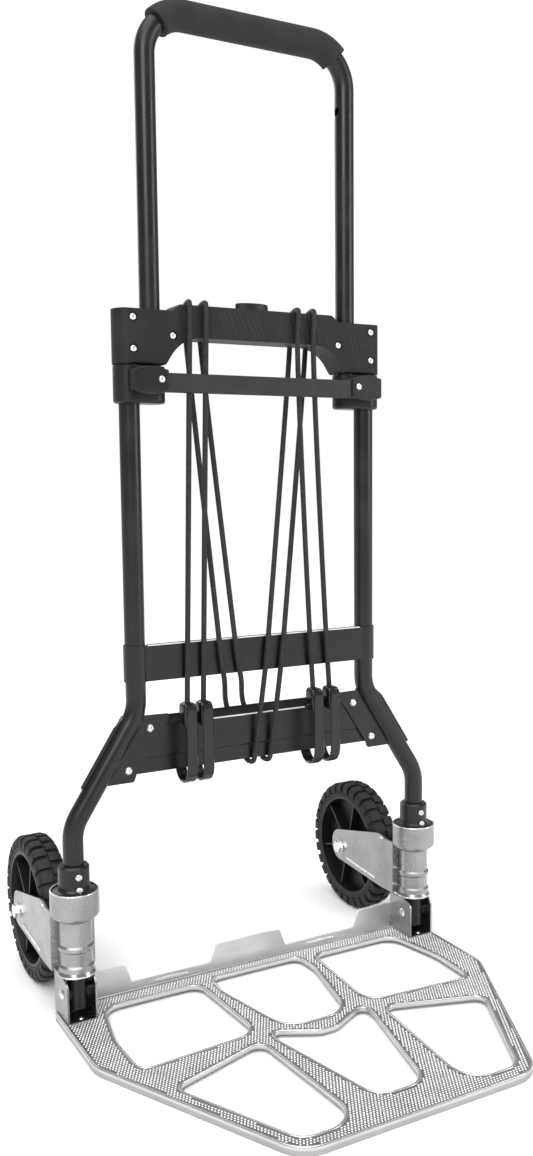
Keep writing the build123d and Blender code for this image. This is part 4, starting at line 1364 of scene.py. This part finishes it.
# --- toe plate --------------------------------------------------------------------------------
@dataclass
class ToePlate:
    """Raised bumps over the deck, rolled beads round every edge, ribs on the upstand."""

    bench: Bench
    pitch: float = 3.5
    bump_radius: float = 0.00138
    outer_bead: float = 0.0015
    lip_bead: float = 0.0014
    bead_z: float = PLATE_TOP - 0.0006
    rim_room: float = 4.6
    lip_room: float = 4.4
    rib_z: float = 0.0130

    # outlines as x, y and corner radius in millimetres, from the swivels' plane; OUTER and
    # the two MIDDLE ones are the right-hand half
    OUTER = ((131.6, -327.0, 38.0), (239.5, -108.6, 40.0), (239.5, 28.7, 14.0))
    MIDDLE_REAR = ((37.0, -133.0, 33.0), (59.8, -25.0, 60.0), (56.8, 9.8, 12.0))
    MIDDLE_FRONT = (
        (26.5, -286.6, 24.0), (57.8, -152.0, 50.0), (57.5, -131.0, 7.5), (9.5, -157.0, 18.0),
    )
    SIDE_REAR = (
        (69.0, -125.2, 22.0), (201.5, -134.5, 12.0), (203.5, -70.0, 90.0), (189.0, 2.8, 22.0),
        (76.5, 3.2, 15.0),
    )
    SIDE_FRONT = (
        (61.4, -309.0, 30.0), (121.4, -309.0, 22.0), (186.0, -180.4, 11.0), (75.0, -145.0, 12.0),
    )

    def build(self) -> None:
        """Makes the deck's details."""
        outer = rounded([*self.OUTER, *flipped(self.OUTER)])
        openings = [rounded([*m, *flipped(m)]) for m in (self.MIDDLE_REAR, self.MIDDLE_FRONT)]
        for corners in (self.SIDE_REAR, self.SIDE_FRONT):
            openings += [rounded(corners), rounded(flipped(corners))]
        self.beads(outer, openings)
        self.bumps(outer, openings)
        self.ribs()

    def add(self, name: str, mesh: bpy.types.Mesh, finish: bpy.types.Material) -> None:
        """Puts a piece on the plate."""
        self.bench.piece(name, mesh, "toe_plate", Slot.PLATE_ALUMINIUM, (), finish)

    def beads(self, outer: np.ndarray, openings: Sequence[np.ndarray]) -> None:
        """Rolled edges round the plate and round each opening.

        Args:
            outer: the plate's outline.
            openings: the outlines of its openings.
        """
        tree = bead_tree()
        material = self.bench.rolled
        rim = self.loops([shifted(outer, 1.6)])
        lips = self.loops([shifted(line, -1.5) for line in openings])
        made = [
            tree.made(rim, {"Radius": self.outer_bead, "Material": material}),
            tree.made(lips, {"Radius": self.lip_bead, "Material": material}),
        ]
        self.add("plate_edge_beads", joined(made), material)

    def loops(self, lines: Sequence[np.ndarray]) -> bpy.types.Mesh:
        """Closed lines as loose edges at the height of the beads.

        Args:
            lines: points in millimetres from the swivels' plane.

        Returns:
            The mesh of edges.
        """
        points: list[tuple] = []
        edges: list[tuple] = []
        for line in lines:
            start, count = len(points), len(line)
            points += [(x * MM, HUB_Y + y * MM, self.bead_z) for x, y in line]
            edges += [(start + i, start + (i + 1) % count) for i in range(count)]
        return loose(points, edges)

    def bumps(self, outer: np.ndarray, openings: Sequence[np.ndarray]) -> None:
        """Low round bumps in staggered rows wherever the deck is flat, in a pale aluminium that
        paints their highlights.

        Args:
            outer: the plate's outline.
            openings: the outlines of its openings.
        """
        xs = np.arange(-236.0, 236.1, self.pitch)
        places = []
        for row, y in enumerate(np.arange(-322.0, 23.5, self.pitch * 0.9)):
            lag = self.pitch / 2 if row % 2 else 0.0
            places.append(np.stack([xs + lag, np.full(len(xs), y)], 1))
        spots = np.concatenate(places)
        keep = self.inside(spots, outer) & (self.gap(spots, outer) > self.rim_room)
        for line in openings:
            keep &= ~self.inside(spots, line) & (self.gap(spots, line) > self.lip_room)
        points = [(x * MM, HUB_Y + y * MM, PLATE_TOP - 0.0001) for x, y in spots[keep]]
        values = {
            "Radius": self.bump_radius,
            "Squash": (1.0, 1.12, 0.62),
            "Detail": 1,
            # a pale aluminium: painted highlights on the bumps
            "Material": self.bench.rubbed,
        }
        self.add("deck_bumps", bump_tree().made(loose(points), values), self.bench.rubbed)

    @staticmethod
    def inside(spots: np.ndarray, line: np.ndarray) -> np.ndarray:
        """Which spots lie inside a closed line.

        Args:
            spots: the places.
            line: the line's points.

        Returns:
            True or False for each spot.
        """
        x, y = spots[:, 0:1], spots[:, 1:2]
        x0, y0 = line[:, 0], line[:, 1]
        x1, y1 = np.roll(x0, -1), np.roll(y0, -1)
        rise = np.where(np.abs(y1 - y0) < 1e-9, 1e-9, y1 - y0)
        crosses = ((y0 > y) != (y1 > y)) & (x < (x1 - x0) * (y - y0) / rise + x0)
        return crosses.sum(1) % 2 == 1

    @staticmethod
    def gap(spots: np.ndarray, line: np.ndarray) -> np.ndarray:
        """How far spots are from a closed line.

        Args:
            spots: the places.
            line: the line's points.

        Returns:
            The distance of each spot.
        """
        nearest = np.full(len(spots), 1e9)
        for start, end in zip(line, np.roll(line, -1, 0)):
            along = end - start
            size = max(float(along @ along), 1e-9)
            share = np.clip((spots - start) @ along / size, 0.0, 1.0)[:, None]
            nearest = np.minimum(nearest, np.linalg.norm(spots - start - share * along, axis=1))
        return nearest

    def ribs(self) -> None:
        """Shallow long ribs pressed into the upstand's front, and its cut edge, all in a pale
        aluminium that paints their highlights.
        """
        base = loose([(x * MM, UPSTAND_FRONT, self.rib_z) for x in (-99.0, 99.0)])
        values = {
            "Radius": 0.0022,
            "Squash": (9.6, 0.5, 0.95),
            "Detail": 4,
            # a pale aluminium: painted highlights on the ribs and the cut edge
            "Material": self.bench.rubbed,
        }
        ribs = bump_tree().made(base, values)
        half = [(40.4, 39.0), (42.4, 38.2), (49.5, 18.0), (148.2, 18.0)]
        half += [(155.0, 38.2), (157.0, 39.4), (203.0, 40.0)]
        steps = [(-x, z) for x, z in reversed(half)] + half
        points = [(x * MM, UPSTAND_FRONT + 0.0003, z * MM) for x, z in steps]
        line = loose(points, [(i, i + 1) for i in range(len(points) - 1)])
        edge = bead_tree().made(line, {"Radius": 0.0007, "Material": self.bench.rubbed})
        self.add("upstand_ribs", joined([ribs, edge]), self.bench.rubbed)


# --- latch housing and screws -----------------------------------------------------------------
@dataclass
class LatchHousing:
    """The slanted ripples moulded into the housing's front."""

    bench: Bench
    swell: float = 0.0008
    wave: float = 0.0066
    fade_in: float = 0.005

    def build(self) -> None:
        """Makes the rippled skins of the middle and of both ends."""
        middle = self.skin(-0.0905, 0.0905, self.arch_line, lambda x: 0.7585, 200, 26, 1.0)
        self.bench.piece("housing_middle_ripples", middle, "frame", Slot.HOUSING_PLASTIC)
        for side in Side:
            ends = sorted((side.value * 0.1115, side.value * 0.1360))
            skin = self.skin(*ends, lambda x: 0.7005, lambda x: 0.7515, 30, 48, 0.55)
            name = f"housing_{side.word}_end_ripples"
            self.bench.piece(name, skin, "frame", Slot.HOUSING_PLASTIC)

    @staticmethod
    def arch_line(x: float) -> float:
        """The lower edge of the skin over the arch."""
        past = max(0.0, abs(x) - 0.068)
        return 0.7290 - 9.0 * past * past

    def skin(
        self,
        low_x: float,
        high_x: float,
        bottom: Callable[[float], float],
        top: Callable[[float], float],
        columns: int,
        rows: int,
        strength: float,
    ) -> bpy.types.Mesh:
        """A thin closed skin on the front face whose outside is rippled.

        Args:
            low_x: its left edge.
            high_x: its right edge.
            bottom: lower edge at each x.
            top: upper edge at each x.
            columns: steps across.
            rows: steps upwards.
            strength: how much of the full swell it has.

        Returns:
            The skin as a closed mesh.
        """
        outer, inner = [], []
        for i in range(columns + 1):
            x = low_x + (high_x - low_x) * i / columns
            for k in range(rows + 1):
                z = bottom(x) + (top(x) - bottom(x)) * k / rows
                edge = min(i, columns - i) / columns * (high_x - low_x)
                edge = min(edge, (z - bottom(x)), (top(x) - z))
                fade = min(1.0, edge / self.fade_in)
                fade = fade * fade * (3 - 2 * fade)
                lift = self.ripple(x, z) * strength * fade
                outer.append((x, HOUSING_FRONT - 0.00002 - lift, z))
                inner.append((x, HOUSING_FRONT + 0.0006, z))
        return self.closed(outer, inner, columns, rows)

    def ripple(self, x: float, z: float) -> float:
        """Height of the ripples at a place on the front face.

        Args:
            x: the place across.
            z: its height.

        Returns:
            How far the surface stands out.
        """
        slant = x + (z - 0.74) * 0.34 + 0.0007 * math.sin(z * 170.0 + x * 40.0)
        phase = slant / self.wave
        stray = 0.9 * math.sin(math.tau * phase * 0.37 + 1.0)
        crest = 0.5 + 0.5 * math.sin(math.tau * phase + stray)
        drift = 0.6 + 0.4 * math.sin(slant * 88.0 + z * 21.0)
        return self.swell * crest**1.3 * drift

    @staticmethod
    def closed(outer: list, inner: list, columns: int, rows: int) -> bpy.types.Mesh:
        """Joins a front and a back grid round their borders.

        Args:
            outer: points of the front grid, column by column.
            inner: points of the back grid.
            columns: steps across.
            rows: steps upwards.

        Returns:
            The closed mesh.
        """
        n, start = rows + 1, len(outer)
        faces = []
        for i in range(columns):
            for k in range(rows):
                a, b = i * n + k, (i + 1) * n + k
                faces.append((a, b, b + 1, a + 1))
                faces.append((start + a, start + a + 1, start + b + 1, start + b))
        border = [i * n for i in range(columns + 1)]
        border += [columns * n + k for k in range(1, n)]
        border += [i * n + rows for i in range(columns - 1, -1, -1)]
        border += [k for k in range(rows - 1, 0, -1)]
        for a, b in zip(border, border[1:] + border[:1]):
            faces.append((a, start + a, start + b, b))
        return outward(mesh_of(outer + inner, faces, keep=60.0))


@dataclass
class Swivels:
    """Rolled rims on each swivel's cup and foot, and the ridges pressed into the fork, in a pale
    copy of the zinc that paints their highlights.
    """

    bench: Bench
    cup_radius: float = 0.0253
    cup_top: float = 0.1490
    foot_radius: float = 0.0202
    foot_low: float = 0.0588
    fork_half: float = 0.0245
    rim_bead: float = 0.00095
    ridge_bead: float = 0.0012

    def build(self) -> None:
        """Makes one group of rims and ridges for each fork."""
        tree = bead_tree()
        for side in Side:
            centre = side.value * HUB_X
            rings = [self.ring(centre, self.cup_radius, self.cup_top)]
            rings.append(self.ring(centre, self.foot_radius, self.foot_low))
            parts = [self.run(tree, points, True, self.rim_bead) for points in rings]
            for face in (-self.fork_half, self.fork_half):
                for ridge in self.ridges(centre + face):
                    parts.append(self.run(tree, ridge, False, self.ridge_bead))
            name = f"{side.word}_swivel_rims"
            mesh = outward(joined(parts))
            # The rims and ridges take a pale copy of the zinc: painted highlights.
            self.bench.piece(name, mesh, f"{side.word}_fork", Slot.ZINC, (), self.bench.zinc_edge)

    def run(
        self, tree: RepeatTree, points: Sequence[Point], closed: bool, radius: float
    ) -> bpy.types.Mesh:
        """A bead along points.

        Args:
            tree: what sweeps it.
            points: its middle line.
            closed: whether its end joins its start.
            radius: half its thickness.

        Returns:
            The bead.
        """
        count = len(points)
        edges = [(i, (i + 1) % count) for i in range(count if closed else count - 1)]
        values = {"Radius": radius, "Material": self.bench.zinc_edge}
        return tree.made(loose(points, edges), values)

    @staticmethod
    def ring(x: float, radius: float, z: float) -> list[Point]:
        """A level circle about a swivel's axis."""
        turns = [math.tau * i / 72 for i in range(72)]
        return [(x + radius * math.cos(t), HUB_Y + radius * math.sin(t), z) for t in turns]

    @staticmethod
    def ridges(x: float) -> list[list[Point]]:
        """Lines on one face of the fork.

        Args:
            x: where the face lies.

        Returns:
            A long low line and a short one by the cup.
        """
        low = [(x, HUB_Y + y * MM, z * MM) for y, z in ((48.0, 67.0), (90.0, 69.8), (116.0, 72.6))]
        lip = [(x, HUB_Y + y * MM, z * MM) for y, z in ((29.5, 124.2), (37.0, 124.0))]
        return [low, lip]


@dataclass
class CrossPieces:
    """Bright lines in a pale copy of the powder coat along the top of the band and of the lower
    panel: a painted highlight on their bends.
    """

    bench: Bench
    radius: float = 0.0008

    def build(self) -> None:
        """Makes both lines."""
        lines = (
            ("band_bend", 0.1345, HUB_Y - 0.0088, 0.4034),
            ("panel_bend", 0.0640, HUB_Y + 0.0003, 0.3138),
        )
        for name, reach, y, z in lines:
            line = loose([(-reach, y, z), (reach, y, z)], [(0, 1)])
            # The lines take a pale copy of the powder coat: a painted highlight.
            values = {"Radius": self.radius, "Material": self.bench.bare_edge}
            mesh = outward(bead_tree().made(line, values))
            self.bench.piece(name, mesh, "frame", Slot.POWDER_COAT, (), self.bench.bare_edge)


@dataclass
class ButtonSpring:
    """The coil under the release button, which on the real truck shortens as the button goes down;
    here it only gets a mesh of its own.
    """

    bench: Bench
    foot: Point = (0.0, 0.0, 0.729)
    keep: float = 0.61

    def build(self) -> None:
        """Gives the coil a mesh of its own."""
        coil = self.bench.frame["nodes"]["button_spring"]
        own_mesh(coil)
        LOG.info("node button_spring: follows button_press")


@dataclass
class Fixings:
    """Dome-headed screws with a cross recess, all facing the front."""

    bench: Bench
    radius: float = 0.0038
    height: float = 0.0024
    rings: int = 12
    steps: int = 32
    half_slot: float = 0.00052
    slot_depth: float = 0.0008

    def build(self) -> None:
        """Makes one group of heads for each node that it stands for."""
        head = bpy.data.objects.new("screw_head", self.head())
        bpy.context.scene.collection.objects.link(head)
        tree = head_tree()
        for node, body, seats in (
            ("housing_screws", "frame", self.housing_seats()),
            ("cap_screws", "handle", self.cap_seats()),
            ("hub_screws", "frame", self.hub_seats()),
        ):
            values = {"Head": head, "Material": self.bench.materials[Slot.SCREW_STEEL]}
            mesh = tree.made(loose(seats), values)
            self.bench.piece(f"{node}_heads", mesh, body, Slot.SCREW_STEEL, [node])
        bpy.data.objects.remove(head)

    @staticmethod
    def housing_seats() -> list[Point]:
        """Where the housing's heads sit.

        Returns:
            Six places.
        """
        y = HOUSING_FRONT + 0.0012
        right = [(TUBE_X, 0.745), (TUBE_X, 0.713), (0.1014, 0.728)]
        return [(s * x, y, z) for x, z in right for s in (1, -1)]

    @staticmethod
    def cap_seats() -> list[Point]:
        """Where the heads on the slide bar's caps sit."""
        low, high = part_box("cap_screws")
        return [(s * HANDLE_X, low.y + 0.0024, (low.z + high.z) / 2) for s in (1, -1)]

    @staticmethod
    def hub_seats() -> list[Point]:
        """Where the heads on the hub collars sit.

        Returns:
            Four places.
        """
        upper = (HUB_COLLAR_FRONT + 0.0004, 0.166)
        lower = (HUB_COLLAR_FRONT - 0.0010, 0.1526)
        return [(s * HUB_X, y, z) for y, z in (upper, lower) for s in (1, -1)]

    def head(self) -> bpy.types.Mesh:
        """A dome facing -Y with a sunk cross, closed at the back.

        Returns:
            The head, about the origin.
        """
        rings, steps = self.rings, self.steps
        points: list[Point] = [(0.0, -self.rise(0.0, 0.0), 0.0)]
        for k in range(1, rings + 1):
            r = self.radius * k / rings
            for i in range(steps):
                x, z = r * math.cos(math.tau * i / steps), r * math.sin(math.tau * i / steps)
                points.append((x, -self.rise(x, z), z))
        points.append((0.0, 0.0003, 0.0))
        faces = []
        for i in range(steps):
            j = (i + 1) % steps
            faces.append((0, 1 + i, 1 + j))
            for k in range(rings - 1):
                a, b = 1 + k * steps, 1 + (k + 1) * steps
                faces.append((a + i, b + i, b + j, a + j))
            last = 1 + (rings - 1) * steps
            faces.append((last + i, len(points) - 1, last + j))
        return outward(mesh_of(points, faces, keep=50.0))

    def rise(self, x: float, z: float) -> float:
        """How far the head stands out at a place on it.

        Args:
            x: the place across.
            z: its height.

        Returns:
            The height of the dome, less the recess.
        """
        away = min(1.0, math.hypot(x, z) / self.radius)
        dome = self.height * math.sqrt(max(0.0, 1.0 - away**2.3))
        small, large = sorted((abs(x), abs(z)))
        slot = small < self.half_slot and large < self.radius * 0.5
        return dome - (self.slot_depth if slot else 0.0)


def main() -> None:
    """Builds the finishes, the pieces and the studio."""
    logging.basicConfig(level=logging.INFO, format="%(name)s: %(message)s")
    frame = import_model()
    bench = Bench(frame)
    bench.dress_nodes()
    groups = (
        ElasticCords, Tyres, Swivels, ToePlate, LatchHousing, CrossPieces, ButtonSpring, Fixings,
    )
    for group in groups:
        group(bench).build()
    Studio().build()


if __name__ == "__main__":
    main()
